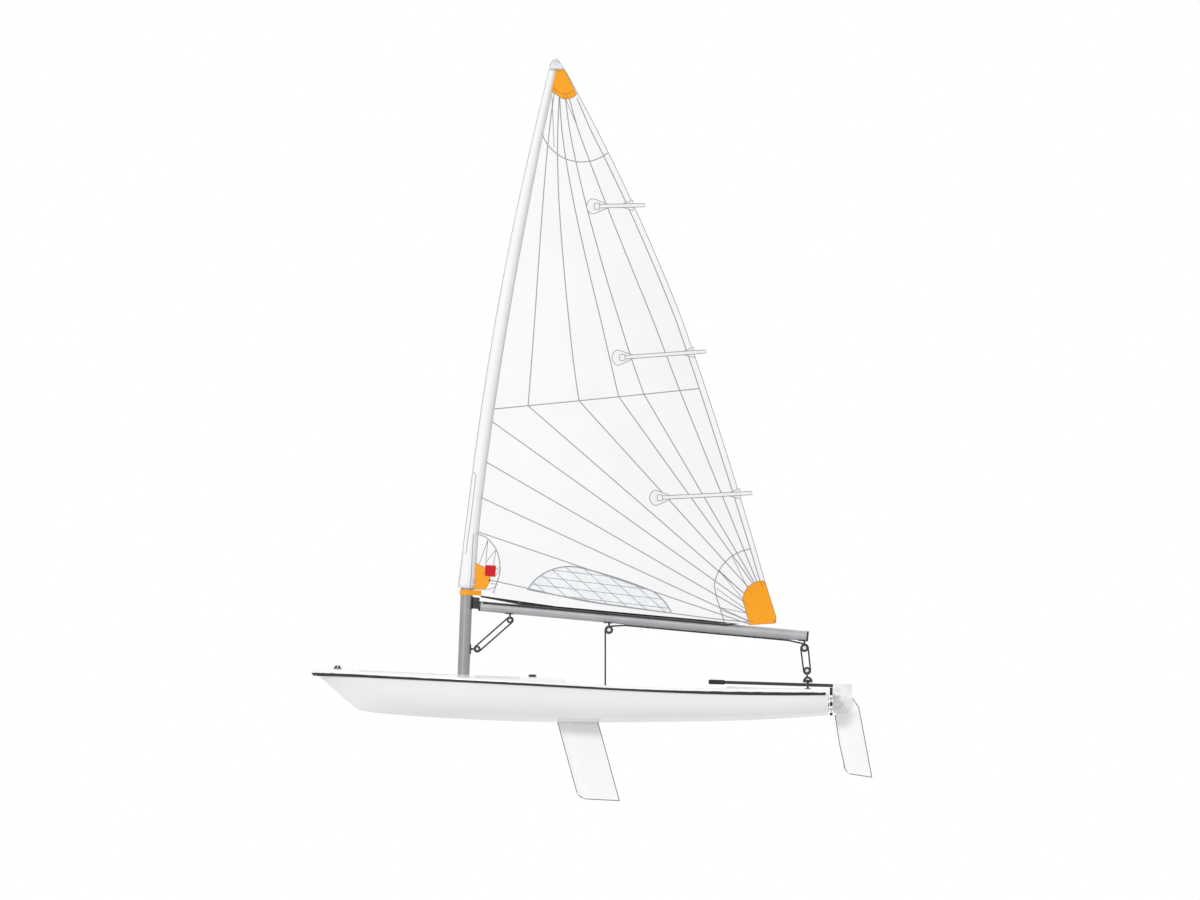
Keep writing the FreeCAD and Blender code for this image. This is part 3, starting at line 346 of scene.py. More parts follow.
plasticMarks = {"cloudSize": 14.0, "rubbed": 0.6, "cloudTone": 0.8}
plasticLook = {
    "blackNylon": {"colour": (0.022, 0.022, 0.024), "worn": (0.07, 0.07, 0.075), "roughness": (0.42, 0.6),
                   "grain": 700.0, "depth": 0.00012},
    "gripRubber": {"colour": (0.018, 0.018, 0.019), "worn": (0.05, 0.05, 0.05), "roughness": (0.7, 0.85),
                   "grain": 500.0, "depth": 0.0003},
    "tillerBlack": {"colour": (0.02, 0.02, 0.022), "worn": (0.09, 0.09, 0.095), "roughness": (0.3, 0.45),
                    "grain": 900.0, "depth": 0.00006},
    "headWhite": {"colour": (0.87, 0.87, 0.872), "worn": (0.68, 0.68, 0.69), "roughness": (0.3, 0.42),
                  "grain": 600.0, "depth": 0.00006},
    "hubWhite": {"colour": (0.78, 0.78, 0.78), "worn": (0.5, 0.5, 0.5), "roughness": (0.35, 0.5),
                 "grain": 600.0, "depth": 0.00006},
    # painted shade: the black of the strip under the gunwale lip
    "stripRubber": {"colour": (0.02, 0.02, 0.021), "worn": (0.06, 0.06, 0.06), "roughness": (0.55, 0.7),
                    "grain": 500.0, "depth": 0.0001},
    "capWhite": {"colour": (0.80, 0.80, 0.80), "worn": (0.66, 0.66, 0.66), "roughness": (0.4, 0.5),
                 "grain": 600.0, "depth": 0.0001},
}


def makePlastic(name):
    look = plasticLook[name]
    material, tree, shader = startMaterial(name)
    coordinates = objectCoordinates(tree)
    marks = place(tree, speckle, {"Vector": coordinates, "Cloud Size": plasticMarks["cloudSize"],
                                  "Grain Size": look["grain"]})
    rubbed = place(tree, scuffs, {"Vector": coordinates, "Amount": plasticMarks["rubbed"]})["Mask"]
    darker = toned(look["colour"], plasticMarks["cloudTone"])
    colour = mixColours(tree, spread(tree, marks["Cloud"]), look["colour"], darker)
    feed(tree, shader, {"Base Color": mixColours(tree, rubbed, colour, look["worn"]),
                        "Roughness": spread(tree, marks["Cloud"], *look["roughness"]),
                        "Normal": bumpFrom(tree, marks["Grain"], look["depth"])})
    return material


clothMarks = {"crinkleSize": 14.0, "crinkleDepth": 0.0016, "sheen": 0.05, "specular": 0.25}
clothLook = {
    "sailcloth": {"colour": (0.86, 0.86, 0.86), "shade": (0.83, 0.83, 0.833), "roughness": (0.42, 0.58),
                  "pitch": 0.0022, "depth": 0.00012},
    "sailOrange": {"colour": (0.90, 0.355, 0.008), "shade": (0.86, 0.325, 0.007), "roughness": (0.47, 0.63),
                   "pitch": 0.0025, "depth": 0.0002},
    "tagRed": {"colour": (0.63, 0.005, 0.008), "shade": (0.56, 0.004, 0.006), "roughness": (0.52, 0.68),
               "pitch": 0.002, "depth": 0.0003},
    "patchWhite": {"colour": (0.83, 0.83, 0.833), "shade": (0.79, 0.79, 0.795), "roughness": (0.47, 0.63),
                   "pitch": 0.0025, "depth": 0.0002},
}


def makeCloth(name):
    look, marks = clothLook[name], clothMarks
    material, tree, shader = startMaterial(name)
    coordinates = objectCoordinates(tree)
    threads = place(tree, weave, {"Vector": coordinates, "Pitch": look["pitch"]})
    crinkle = addNoise(tree, coordinates, marks["crinkleSize"], detail=6.0, roughness=0.6)
    creased = bumpFrom(tree, crinkle, marks["crinkleDepth"])
    feed(tree, shader, {"Base Color": mixColours(tree, threads["Shade"], look["colour"], look["shade"]),
                        "Roughness": spread(tree, crinkle, *look["roughness"]),
                        "Sheen Weight": marks["sheen"], "Specular IOR Level": marks["specular"],
                        "Normal": bumpFrom(tree, threads["Height"], look["depth"], after=creased)})
    return material


seamMarks = {"dustSize": 30.0, "dust": (0.0, 0.25), "dustTone": 0.8, "roughness": (0.6, 0.75),
             "threadDepth": 0.0003}
seamLook = {
    "seamGrey": {"tape": (0.40, 0.40, 0.41), "thread": (0.16, 0.16, 0.17), "stitch": 0.007},
    "borderGrey": {"tape": (0.30, 0.30, 0.31), "thread": (0.12, 0.12, 0.13), "stitch": 0.007},
    "seamOrange": {"tape": (0.50, 0.17, 0.02), "thread": (0.25, 0.09, 0.015), "stitch": 0.006},
    "seamRed": {"tape": (0.34, 0.012, 0.015), "thread": (0.62, 0.3, 0.3), "stitch": 0.005},
    "scrimGrey": {"tape": (0.30, 0.305, 0.31), "thread": (0.2, 0.2, 0.21), "stitch": 0.004},
}


def makeSeam(name):
    # a lapped seam with its zigzag of thread
    look, marks = seamLook[name], seamMarks
    material, tree, shader = startMaterial(name)
    seam = meshPlaces(tree, "seamPlace")
    rows = place(tree, stitches, {"Across": seam["X"], "Along": seam["Y"], "Stitch": look["stitch"]})["Mask"]
    dust = spread(tree, addNoise(tree, objectCoordinates(tree), marks["dustSize"]), *marks["dust"])
    colour = mixColours(tree, dust, look["tape"], toned(look["tape"], marks["dustTone"]))
    feed(tree, shader, {"Base Color": mixColours(tree, rows, colour, look["thread"]),
                        "Roughness": addRange(tree, rows, 0.0, 1.0, *marks["roughness"]),
                        "Normal": bumpFrom(tree, rows, marks["threadDepth"])})
    return material


filmLook = {"colour": (0.84, 0.855, 0.865), "shade": (0.78, 0.80, 0.815), "roughness": (0.08, 0.2),
            "alpha": (0.38, 0.52), "depth": 0.0006, "hazeSize": 18.0}


def makeFilm():
    # clear film, a little hazy
    look = filmLook
    material, tree, shader = startMaterial("windowFilm")
    haze = addNoise(tree, objectCoordinates(tree), look["hazeSize"], detail=5.0)
    colour = mixColours(tree, spread(tree, haze), look["colour"], look["shade"])
    feed(tree, shader, {"Base Color": colour, "Roughness": spread(tree, haze, *look["roughness"]),
                        "Alpha": spread(tree, haze, *look["alpha"]),
                        "Normal": bumpFrom(tree, haze, look["depth"])})
    return material


ropeLook = {"colour": (0.03, 0.03, 0.032), "fleck": (0.10, 0.10, 0.105), "strands": 7.0, "lay": 0.011,
            "roughness": (0.62, 0.8), "depth": 0.0012, "fuzzSize": 350.0, "fleckSpan": (0.45, 0.6),
            "grooveShadeTone": 0.5}


def makeRope():
    look = ropeLook
    material, tree, shader = startMaterial("blackRope")
    rope = meshPlaces(tree, "ropePlace")
    around = addMath(tree, "DIVIDE", addMath(tree, "ARCTAN2", rope["Y"], rope["X"]), 2 * math.pi)
    strand = place(tree, braid, {"Around": around, "Along": rope["Z"], "Strands": look["strands"],
                                 "Lay": look["lay"]})
    fuzz = addNoise(tree, objectCoordinates(tree), look["fuzzSize"])
    flecked = times(tree, strand["Fleck"], spread(tree, fuzz, within=look["fleckSpan"]))
    # painted shade: the rope is darker in the grooves between its strands
    tone = mixColours(tree, strand["Height"], toned(look["colour"], look["grooveShadeTone"]), look["colour"])
    feed(tree, shader, {"Base Color": mixColours(tree, flecked, tone, look["fleck"]),
                        "Roughness": spread(tree, fuzz, *look["roughness"]),
                        "Normal": bumpFrom(tree, strand["Height"], look["depth"])})
    return material


# dark is the painted shade in the grooves, and ribs the painted light on the ribs' tops
webbingLook = {"pitch": 0.0022, "rows": 9, "edgeFrom": 0.86, "dark": (0.012, 0.012, 0.013),
               "ribs": (0.04, 0.04, 0.043), "edge": (0.06, 0.06, 0.065), "depth": 0.0006,
               "rowHeights": (0.5, 1.0), "roughness": (0.7, 0.85)}


def makeWebbing():
    # woven tape: ribs across it and two sewn edges, with painted shade in the grooves and painted light on
    # the ribs' tops
    look = webbingLook
    material, tree, shader = startMaterial("webbing")
    tape = meshPlaces(tree, "seamPlace")
    ribs = ridges(tree, tape["Y"], math.pi / look["pitch"])
    rows = addRange(tree, ridges(tree, tape["X"], math.pi * look["rows"]), 0.0, 1.0, *look["rowHeights"])
    height = times(tree, ribs, rows)
    edge = addMath(tree, "GREATER_THAN", addMath(tree, "ABSOLUTE", tape["X"]), look["edgeFrom"])
    # painted shade and light: darker in the grooves, lighter on the ribs' tops
    colour = mixColours(tree, height, look["dark"], look["ribs"])
    feed(tree, shader, {"Base Color": mixColours(tree, edge, colour, look["edge"]),
                        "Roughness": addRange(tree, height, 0.0, 1.0, *look["roughness"]),
                        "Normal": bumpFrom(tree, height, look["depth"])})
    return material


materials = {"hullGelcoat": makeGelcoat("hullGelcoat"),
             "deckGelcoat": makeGelcoat("deckGelcoat", nonSlip=True),
             "windowFilm": makeFilm(), "blackRope": makeRope(), "webbing": makeWebbing()}
for looks, maker in ((metalLook, makeMetal), (plasticLook, makePlastic), (clothLook, makeCloth),
                     (seamLook, makeSeam)):
    materials.update({name: maker(name) for name in looks})
foilGelcoat = {node: makeGelcoat(node + "Gelcoat", edges=lines) for node, lines in foilShadeOutlines.items()}
slotMaterials = {
    "gelcoat_hull": "hullGelcoat", "gelcoat_deck": "deckGelcoat", "foil_white": "hullGelcoat",
    "head_white": "headWhite", "tiller_black": "tillerBlack", "grip_rubber": "gripRubber",
    "stainless": "stainless", "spar_grey": "sparGrey", "boom_grey": "boomGrey", "black_plastic": "blackNylon",
    "rope_black": "blackRope", "webbing_black": "webbing", "sailcloth": "sailcloth",
    "sailcloth_sleeve": "sailcloth", "sail_orange": "sailOrange", "tag_red": "tagRed",
    "batten_white": "patchWhite", "window_film": "windowFilm", "cap_white": "capWhite",
}
for part in frame["record"]["subparts"]:
    mesh = nodes[part["node"]].data
    mesh.materials.clear()
    mesh.materials.append(foilGelcoat.get(part["node"], materials[slotMaterials[part["material_slot"]]]))
print("materials made")


# mesh helpers: a form is its points, its faces and, where a material reads them, its places
def markSharp(mesh, degrees):
    # smooth faces that keep their corners from this angle up
    limit = math.cos(math.radians(degrees))
    normals = {}
    for polygon in mesh.polygons:
        for key in polygon.edge_keys:
            normals.setdefault(key, []).append(polygon.normal.copy())
    sharp = []
    for edge in mesh.edges:
        sides = normals.get(edge.key, [])
        sharp.append(len(sides) != 2 or sides[0].dot(sides[1]) < limit)
    mesh.attributes.new("sharp_edge", "BOOLEAN", "EDGE").data.foreach_set("value", sharp)


def addPiece(name, form, material, body, slotName, sharpFrom=None, placesName=None):
    # sharpFrom is the angle from which edges stay sharp: None is all smooth and 0 is all flat
    mesh = bpy.data.meshes.new(name)
    mesh.from_pydata([tuple(point) for point in form[0]], [], form[1])
    mesh.materials.append(materials[material])
    mesh.polygons.foreach_set("use_smooth", [sharpFrom != 0] * len(mesh.polygons))
    mesh.update()
    if sharpFrom:
        markSharp(mesh, sharpFrom)
    if placesName is not None:
        attribute = mesh.attributes.new(placesName, "FLOAT_VECTOR", "POINT")
        attribute.data.foreach_set("vector", np.array(form[2], dtype=np.float32).ravel())
    piece = bpy.data.objects.new(name, mesh)
    scene.collection.objects.link(piece)
    if body is not None:
        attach(piece, body)
    return piece


def gather(forms):
    # several closed forms as one
    points, faces, places = [], [], []
    for form in forms:
        base = len(points)
        points += [tuple(point) for point in form[0]]
        faces += [tuple(index + base for index in face) for face in form[1]]
        places += form[2] if len(form) > 2 else []
    return points, faces, places


def pairs(loop):
    return zip(loop, loop[1:] + loop[:1])


def axesAcross(direction):
    axis = Vector(direction).normalized()
    side = axis.orthogonal().normalized()
    return axis, side, axis.cross(side)


def joinRings(rows, count, closed=False, capped=True):
    # faces between rings of points that follow one another; closed joins the last to the first
    total = rows * count
    faces = []
    for row in range(rows if closed else rows - 1):
        for n in range(count):
            a, b = row * count + n, row * count + (n + 1) % count
            faces.append((a, b, (b + count) % total, (a + count) % total))
    if capped and not closed:
        faces += [tuple(reversed(range(count))), tuple(range(total - count, total))]
    return faces


def lathe(centre, direction, profile, sides=24):
    # a turned form: profile rows are distance along the axis and radius
    axis, side, other = axesAcross(direction)
    points = []
    for along, radius in profile:
        for n in range(sides):
            angle = 2 * math.pi * n / sides
            points.append(centre + axis * along + (side * math.cos(angle) + other * math.sin(angle)) * radius)
    return points, joinRings(len(profile), sides)


def ring(centre, direction, radius, thick, sides=24, around=8):
    axis, side, other = axesAcross(direction)
    points = []
    for n in range(sides):
        angle = 2 * math.pi * n / sides
        outward = side * math.cos(angle) + other * math.sin(angle)
        for m in range(around):
            turn = 2 * math.pi * m / around
            spot = centre + outward * (radius + thick * math.cos(turn))
            points.append(spot + axis * thick * math.sin(turn))
    return points, joinRings(sides, around, closed=True)


def ropeForm(path, diameter, sides=14):
    # a round rope along a line of points, with its length and angle kept for the braid
    path = [Vector(point) for point in path]
    tangents = []
    for n in range(len(path)):
        tangents.append((path[min(n + 1, len(path) - 1)] - path[max(n - 1, 0)]).normalized())
    side = tangents[0].orthogonal().normalized()
    points, places, length = [], [], 0.0
    for n, (point, tangent) in enumerate(zip(path, tangents)):
        if n:
            length += (point - path[n - 1]).length
        side = (side - tangent * side.dot(tangent)).normalized()
        other = tangent.cross(side)
        for m in range(sides):
            angle = 2 * math.pi * m / sides
            points.append(point + (side * math.cos(angle) + other * math.sin(angle)) * diameter / 2)
            places.append((math.cos(angle), math.sin(angle), length))
    return points, joinRings(len(path), sides), places


def stretch(start, end, step=0.03):
    # points along a straight run
    start, end = Vector(start), Vector(end)
    count = max(2, int((end - start).length / step) + 1)
    return [start.lerp(end, n / (count - 1)) for n in range(count)]


def wrap(centre, radius, fromDegrees, toDegrees, step=10.0):
    # points round a sheave in the boat's centre plane; 0 is forward and 90 is up
    count = max(3, int(abs(toDegrees - fromDegrees) / step) + 1)
    points = []
    for n in range(count):
        angle = math.radians(fromDegrees + (toDegrees - fromDegrees) * n / (count - 1))
        points.append(centre + Vector((radius * math.cos(angle), 0, radius * math.sin(angle))))
    return points


def knotPath(centre, direction, size, count=49):
    # a small overhand knot drawn tight
    axis, side, other = axesAcross(direction)
    points = []
    for n in range(count):
        t = 2 * math.pi * n / count
        a = math.sin(t) + 2 * math.sin(2 * t)
        b = math.cos(t) - 2 * math.cos(2 * t)
        points.append(centre + (side * a + other * b) * size / 6 - axis * math.sin(3 * t) * size / 3)
    return points + points[:1]


# the frame's own forms, read for the pieces that lie on them
def boxOf(node):
    low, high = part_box(node)
    return low, high, (low + high) / 2


def weldedTriangles(name):
    mesh = nodes[name].data
    mesh.calc_loop_triangles()
    places, order = {}, []
    for vertex in mesh.vertices:
        key = tuple(round(value, 5) for value in vertex.co)
        order.append(places.setdefault(key, len(places)))
    triangles = [tuple(order[i] for i in triangle.vertices) for triangle in mesh.loop_triangles]
    return np.array(list(places.keys())), triangles


def borderEdges(triangles):
    directed = {(t[i], t[(i + 1) % 3]) for t in triangles for i in range(3)}
    return [(a, b) for a, b in directed if (b, a) not in directed]


def loopArea(loop):
    return sum(a[0] * b[1] - b[0] * a[1] for a, b in pairs(loop)) / 2


portSettings = {"facing": 0.6, "furthestStarboard": -0.003, "shortest": 0.0005}


def portLoops(name):
    # outlines of the faces that look to port, as closed lists of (x, z), the largest first
    s = portSettings
    points, triangles = weldedTriangles(name)
    facing = []
    for a, b, c in triangles:
        normal = np.cross(points[b] - points[a], points[c] - points[a])
        size = np.linalg.norm(normal)
        if size > 0 and normal[1] / size > s["facing"] and points[a][1] > s["furthestStarboard"]:
            facing.append((a, b, c))
    follow = dict(borderEdges(facing))
    loops = []
    while follow:
        loop, here = [], next(iter(follow))
        while here in follow:
            loop.append((points[here][0], points[here][2]))
            here = follow.pop(here)
        loops.append(loop)
    return sorted(loops, key=lambda loop: -abs(loopArea(loop)))


def evenLoop(loop, spacing):
    # the same outline with points no further apart than the spacing
    result = []
    for a, b in pairs(loop):
        length = math.dist(a, b)
        if length < portSettings["shortest"]:
            continue
        pieces = max(1, math.ceil(length / spacing))
        result += [(a[0] + (b[0] - a[0]) * n / pieces, a[1] + (b[1] - a[1]) * n / pieces)
                   for n in range(pieces)]
    return result


def insideLoops(loops, places):
    # inside the first outline and in none of the others
    xs, zs = places[:, 0], places[:, 1]
    result = np.ones(len(places), dtype=bool)
    for loop in loops:
        inside = np.zeros(len(places), dtype=bool)
        for (x0, z0), (x1, z1) in pairs(loop):
            if z1 != z0:
                inside ^= ((z0 > zs) != (z1 > zs)) & (xs < (x1 - x0) * (zs - z0) / (z1 - z0) + x0)
        result &= inside if loop is loops[0] else ~inside
    return result


# the sail's surface: a smooth fit to its cloth and window, with faint wrinkles
surfaceFit = {"samples": 70, "powers": 6, "solids": {"sail_cloth": 0.002, "sail_window": 0.0008}}
wrinkle = {"height": 0.0016, "size": 2.6, "stretch": 2.2, "layer": 3.7}
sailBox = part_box("sail_cloth")


def surfaceTerms(xs, zs):
    low, high = sailBox
    x = (np.asarray(xs, dtype=float) - low.x) / (high.x - low.x) * 2 - 1
    z = (np.asarray(zs, dtype=float) - low.z) / (high.z - low.z) * 2 - 1
    powers = surfaceFit["powers"]
    return np.stack([x ** i * z ** j for i in range(powers) for j in range(powers + 1)], axis=-1)


def fitSurface():
    low, high = sailBox
    steps = surfaceFit["samples"]
    grid = [(low.x + (high.x - low.x) * i / steps, low.z + (high.z - low.z) * j / steps)
            for i in range(steps + 1) for j in range(steps + 1)]
    hits = []
    for name, halfThick in surfaceFit["solids"].items():
        points, triangles = weldedTriangles(name)
        tree = BVHTree.FromPolygons([tuple(point) for point in points], triangles)
        for x, z in grid:
            spot = tree.ray_cast(Vector((x, 1.0, z)), Vector((0, -1, 0)))[0]
            if spot is not None:
                hits.append((x, z, spot.y - halfThick))
    hits = np.array(hits)
    terms = surfaceTerms(hits[:, 0], hits[:, 1])
    weights = np.linalg.lstsq(terms, hits[:, 2], rcond=1e-9)[0]
    worst = np.abs(terms @ weights - hits[:, 2]).max()
    print("sail surface fitted to", len(hits), "places, worst", round(worst * 1000, 2), "mm")
    return weights


surfaceWeights = fitSurface()


def sailY(xs, zs):
    xs, zs = np.atleast_1d(np.asarray(xs, dtype=float)), np.atleast_1d(np.asarray(zs, dtype=float))
    size, longer, layer = wrinkle["size"], wrinkle["stretch"], wrinkle["layer"]
    folds = [noise.noise(Vector((x * size * longer, layer, z * size))) for x, z in zip(xs, zs)]
    return surfaceTerms(xs, zs) @ surfaceWeights + np.array(folds) * wrinkle["height"]


def sailSpot(x, z, away=0.0):
    return Vector((x, float(sailY(x, z)[0]) + away, z))


clothGrid = {"rows": 0.866, "clear": 0.45}  # shares of the spacing, between rows and from the outline


def clothForm(loops, spacing, low, high):
    # a thin closed sheet inside the first outline, with the others as holes,
    # lying on the sail's surface from low to high (metres to port)
    outlines = [evenLoop(loop, spacing) for loop in loops]
    edges, base = [], 0
    for loop in outlines:
        edges += [(base + n, base + (n + 1) % len(loop)) for n in range(len(loop))]
        base += len(loop)
    border = np.array([point for loop in outlines for point in loop])
    xs = np.arange(border[:, 0].min(), border[:, 0].max(), spacing)
    zs = np.arange(border[:, 1].min(), border[:, 1].max(), spacing * clothGrid["rows"])
    grid = np.array([(x + (row % 2) * spacing / 2, z) for row, z in enumerate(zs) for x in xs])
    grid = grid[insideLoops(outlines, grid)]
    if len(grid):
        near = np.array([np.hypot(border[:, 0] - x, border[:, 1] - z).min() for x, z in grid])
        grid = grid[near > spacing * clothGrid["clear"]]
    every = [Vector(point) for point in border] + [Vector(point) for point in grid]
    mesh = delaunay_2d_cdt(every, edges, [], 0, 1e-7)
    places = np.array([(point.x, point.y) for point in mesh[0]])
    triangles = np.array(mesh[2])
    kept = []
    for a, b, c in triangles[insideLoops(outlines, places[triangles].mean(axis=1))].tolist():
        turn = np.cross(places[b] - places[a], places[c] - places[a])
        kept.append((a, c, b) if turn > 0 else (a, b, c))
    used = sorted({index for triangle in kept for index in triangle})
    renumber = {old: new for new, old in enumerate(used)}
    kept = [tuple(renumber[index] for index in triangle) for triangle in kept]
    places = places[used]
    y = sailY(places[:, 0], places[:, 1])
    count = len(places)
    points = [(x, away + offset, z) for offset in (high, low) for (x, z), away in zip(places, y)]
    faces = kept + [(c + count, b + count, a + count) for a, b, c in kept]
    return points, faces + [(b, a, a + count, b + count) for a, b in borderEdges(kept)]


def flatArea(form):
    # a sheet's area in the boat's centre plane
    places = np.array(form[0])[:, [0, 2]]
    triangles = [face for face in form[1] if len(face) == 3 and max(face) < len(places) // 2]
    return sum(abs(np.cross(places[b] - places[a], places[c] - places[a])) / 2 for a, b, c in triangles)


def stripForm(path, width, half, closed=False, step=0.03, surface=sailY):
    # a narrow strip along a line on a surface, standing out by half on both sides
    line = [Vector(point) for point in path]
    if closed:
        line.append(line[0].copy())
    fine = [line[0]]
    for a, b in zip(line, line[1:]):
        pieces = max(1, math.ceil((b - a).length / step))
        fine += [a.lerp(b, n / pieces) for n in range(1, pieces + 1)]
    if closed:
        fine.pop()
    count = len(fine)
    sides, alongs, length = [], [], 0.0
    for n, point in enumerate(fine):
        before = fine[(n - 1) % count] if closed or n else point
        after = fine[(n + 1) % count] if closed or n < count - 1 else point
        run = (after - before).normalized()
        sides.append(Vector((-run.y, run.x)) * width / 2)
        if n:
            length += (point - fine[n - 1]).length
        alongs.append(length)
    edges = []
    for across in (-1.0, 1.0):
        edge = [point - side * across for point, side in zip(fine, sides)]
        edges.append((across, edge, surface([p.x for p in edge], [p.y for p in edge])))
    points, places = [], []
    for n in range(count):
        for across, edge, y in edges:
            points += [(edge[n].x, y[n] + half, edge[n].y), (edge[n].x, y[n] - half, edge[n].y)]
            places += [(across, alongs[n], 0.0)] * 2
    faces = []
    for n in range(count if closed else count - 1):
        a, b = 4 * n, 4 * ((n + 1) % count)
        faces += [(a, a + 2, b + 2, b), (a + 1, b + 1, b + 3, a + 3),
                  (a, b, b + 1, a + 1), (a + 2, a + 3, b + 3, b + 2)]
    if not closed:
        e = 4 * (count - 1)
        faces += [(0, 1, 3, 2), (e, e + 2, e + 3, e + 1)]
    return points, faces, places


def arcThrough(start, middle, end, count=24):
    # points on the circle through three places
    (ax, az), (bx, bz), (cx, cz) = start, middle, end
    d = 2 * (ax * (bz - cz) + bx * (cz - az) + cx * (az - bz))
    ux = ((ax**2 + az**2) * (bz - cz) + (bx**2 + bz**2) * (cz - az) + (cx**2 + cz**2) * (az - bz)) / d
    uz = ((ax**2 + az**2) * (cx - bx) + (bx**2 + bz**2) * (ax - cx) + (cx**2 + cz**2) * (bx - ax)) / d
    radius = math.hypot(ax - ux, az - uz)
    a0, a1, a2 = (math.atan2(z - uz, x - ux) for x, z in (start, middle, end))
    turn = (a2 - a0) % (2 * math.pi)
    if (a1 - a0) % (2 * math.pi) > turn:
        turn -= 2 * math.pi
    return [(ux + radius * math.cos(a0 + turn * n / count), uz + radius * math.sin(a0 + turn * n / count))
            for n in range(count + 1)]


def smoothThrough(points, pieces=8):
    # a smooth line through a few places
    places = [Vector(point) for point in points]
    places = [places[0] * 2 - places[1]] + places + [places[-1] * 2 - places[-2]]
    path = []
    for a, b, c, d in zip(places, places[1:], places[2:], places[3:]):
        for n in range(pieces):
            t = n / pieces
            path.append((b * 2 + (c - a) * t + (a * 2 - b * 5 + c * 4 - d) * t * t
                         + (b * 3 - a - c * 3 + d) * t * t * t) / 2)
    return [tuple(point) for point in path + [places[-2]]]


# the sail: cloth, window, and the lines that everything on it follows
sailSettings = {
    "spacing": 0.035, "clothHalf": 0.0008, "filmHalf": 0.0004, "filmSpacing": 0.04,
    "seamWidth": 0.0085, "seamHalf": 0.0013, "rowShare": 0.7,
    "leechTape": 0.006, "leechTapeInside": 0.002, "leechTapeHeights": (0.77, 5.21),
    "borderWidth": 0.010, "borderHalf": 0.0014, "corner": 35.0, "insideEnds": 0.0005,
    # the leech hem narrows towards the clew and the head
    "hemHeights": (1.05, 1.60, 2.20, 4.75, 5.00), "hemInside": (0.040, 0.048, 0.053, 0.053, 0.029),
    "luffInside": 0.013,
}
outline, windowLoop = portLoops("sail_cloth")[:2]
clothCorner = sailSettings["corner"]


def spanAt(loop, z):
    # smallest and largest x of an outline at a height
    heights = [point[1] for point in loop]
    z = min(max(z, min(heights) + sailSettings["insideEnds"]), max(heights) - sailSettings["insideEnds"])
    crossings = []
    for (x0, z0), (x1, z1) in pairs(loop):
        if (z0 > z) != (z1 > z):
            crossings.append(x0 + (x1 - x0) * (z - z0) / (z1 - z0))
    return min(crossings), max(crossings)


def hemAt(z):
    inside = np.interp(z, sailSettings["hemHeights"], sailSettings["hemInside"])
    return spanAt(outline, z)[0] + float(inside)


def across(share, z):
    # a place across the sail at a height: 0 at the sleeve's seam and 1 at the leech hem
    luff = spanAt(outline, z)[1] - sailSettings["luffInside"]
    return luff + (hemAt(z) - luff) * share


def addSeams(name, forms, material="seamGrey", slotName="sailcloth"):
    return addPiece(name, gather(forms), material, "rig", slotName, sharpFrom=0, placesName="seamPlace")


half = sailSettings["clothHalf"]
sailForm = clothForm([outline, windowLoop], sailSettings["spacing"], -half, half)
sail = addPiece("sail_body", sailForm, "sailcloth", "rig", "sailcloth", clothCorner)
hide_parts("sail_cloth")
sailArea = flatArea(sailForm)
print("sail cloth:", len(sailForm[1]), "faces,", round(sailArea, 2), "square metres")

half = sailSettings["filmHalf"]
filmForm = clothForm([windowLoop], sailSettings["filmSpacing"], -half, half)
film = addPiece("window_pane", filmForm, "windowFilm", "rig", "window_film", clothCorner)
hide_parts("sail_window")

# its seams, as x and z or as shares of the width between the sleeve's seam and the leech hem
seamSettings = {
    "crossHeights": (2.480, 2.646), "upperTop": 5.0, "underClew": 0.06, "fromLuffUnderClew": 0.03,
    "underHead": 0.07, "bowPower": 4.5, "bowPeak": 0.0737, "leechFrom": 1.05, "luffHeights": (1.06, 5.15),
    # upper radial seams: share at the head, halfway down and on the cross seam, and the bow near the head
    "upper": [(0.11, 0.152, 0.160, 0.0), (0.33, 0.342, 0.403, -0.034), (0.35, 0.500, 0.596, 0.0),
              (0.56, 0.618, 0.721, -0.02), (0.71, 0.817, 0.901, 0.0)],
    # lower radial seams: share on the cross seam, then x and z under the clew patch
    "lowerFromCross": [(0.160, -1.42, 0.968), (0.403, -1.42, 1.050), (0.596, -1.43, 1.120),
                       (0.721, -1.45, 1.127), (0.901, -1.51, 1.06)],
    # lower radial seams: height on the luff, then x and z under the clew patch
    "lowerFromLuff": [(2.387, -1.42, 0.903), (2.057, -1.42, 0.829), (1.766, -1.42, 0.770),
                      (1.489, -1.42, 0.745)],
    # the foot panel's seam, from the tack along the window's lower edge to the clew
    "foot": [(0.655, 1.093), (0.356, 1.028), (-0.069, 0.931), (-0.451, 0.873), (-0.812, 0.826),
             (-1.174, 0.779), (-1.434, 0.754)],
    "headArc": [(0.2365, 4.704), (-0.037, 4.484), (-0.294, 4.554)],
    "clewArc": [(-1.456, 1.346), (-1.246, 1.241), (-1.157, 1.046)],
    "clewArcEnd": [(-1.174, 0.959), (-1.239, 0.752)],
    "tackArc": [(0.775, 1.472), (0.718, 1.452), (0.678, 1.428), (0.607, 1.338), (0.579, 1.210),
                (0.588, 1.123), (0.634, 0.988)],
    # short rows, as x and z of both ends: a zigzag between the tack patch and its arc,
    # and the doubling's rows at the clew and at the head
    "rows": [(0.748, 1.224, 0.678, 1.418), (0.695, 1.225, 0.678, 1.418), (0.692, 1.240, 0.615, 1.338),
             (0.633, 1.218, 0.612, 1.336), (0.612, 1.179, 0.582, 1.198), (0.619, 1.125, 0.581, 1.178),
             (0.655, 1.067, 0.596, 1.059), (0.689, 1.013, 0.612, 1.040),
             (-1.303, 1.280, -1.435, 1.014), (-1.192, 1.172, -1.400, 0.929), (-1.192, 1.176, -1.405, 0.978),
             (-1.171, 1.028, -1.400, 0.867), (-1.196, 0.873, -1.420, 0.826), (-1.217, 0.850, -1.437, 0.762),
             (0.158, 5.010, 0.141, 4.600), (0.052, 5.000, -0.034, 4.801)],
}


def onCrossSeam(share):
    luff, leech = seamSettings["crossHeights"]
    z = luff + share * (leech - luff)
    return across(share, z), z


def runOn(path, more):
    # a seam carried on in its own direction under the patch
    last, before = Vector(path[-1]), Vector(path[-2])
    return path + [tuple(last + (last - before).normalized() * more)]


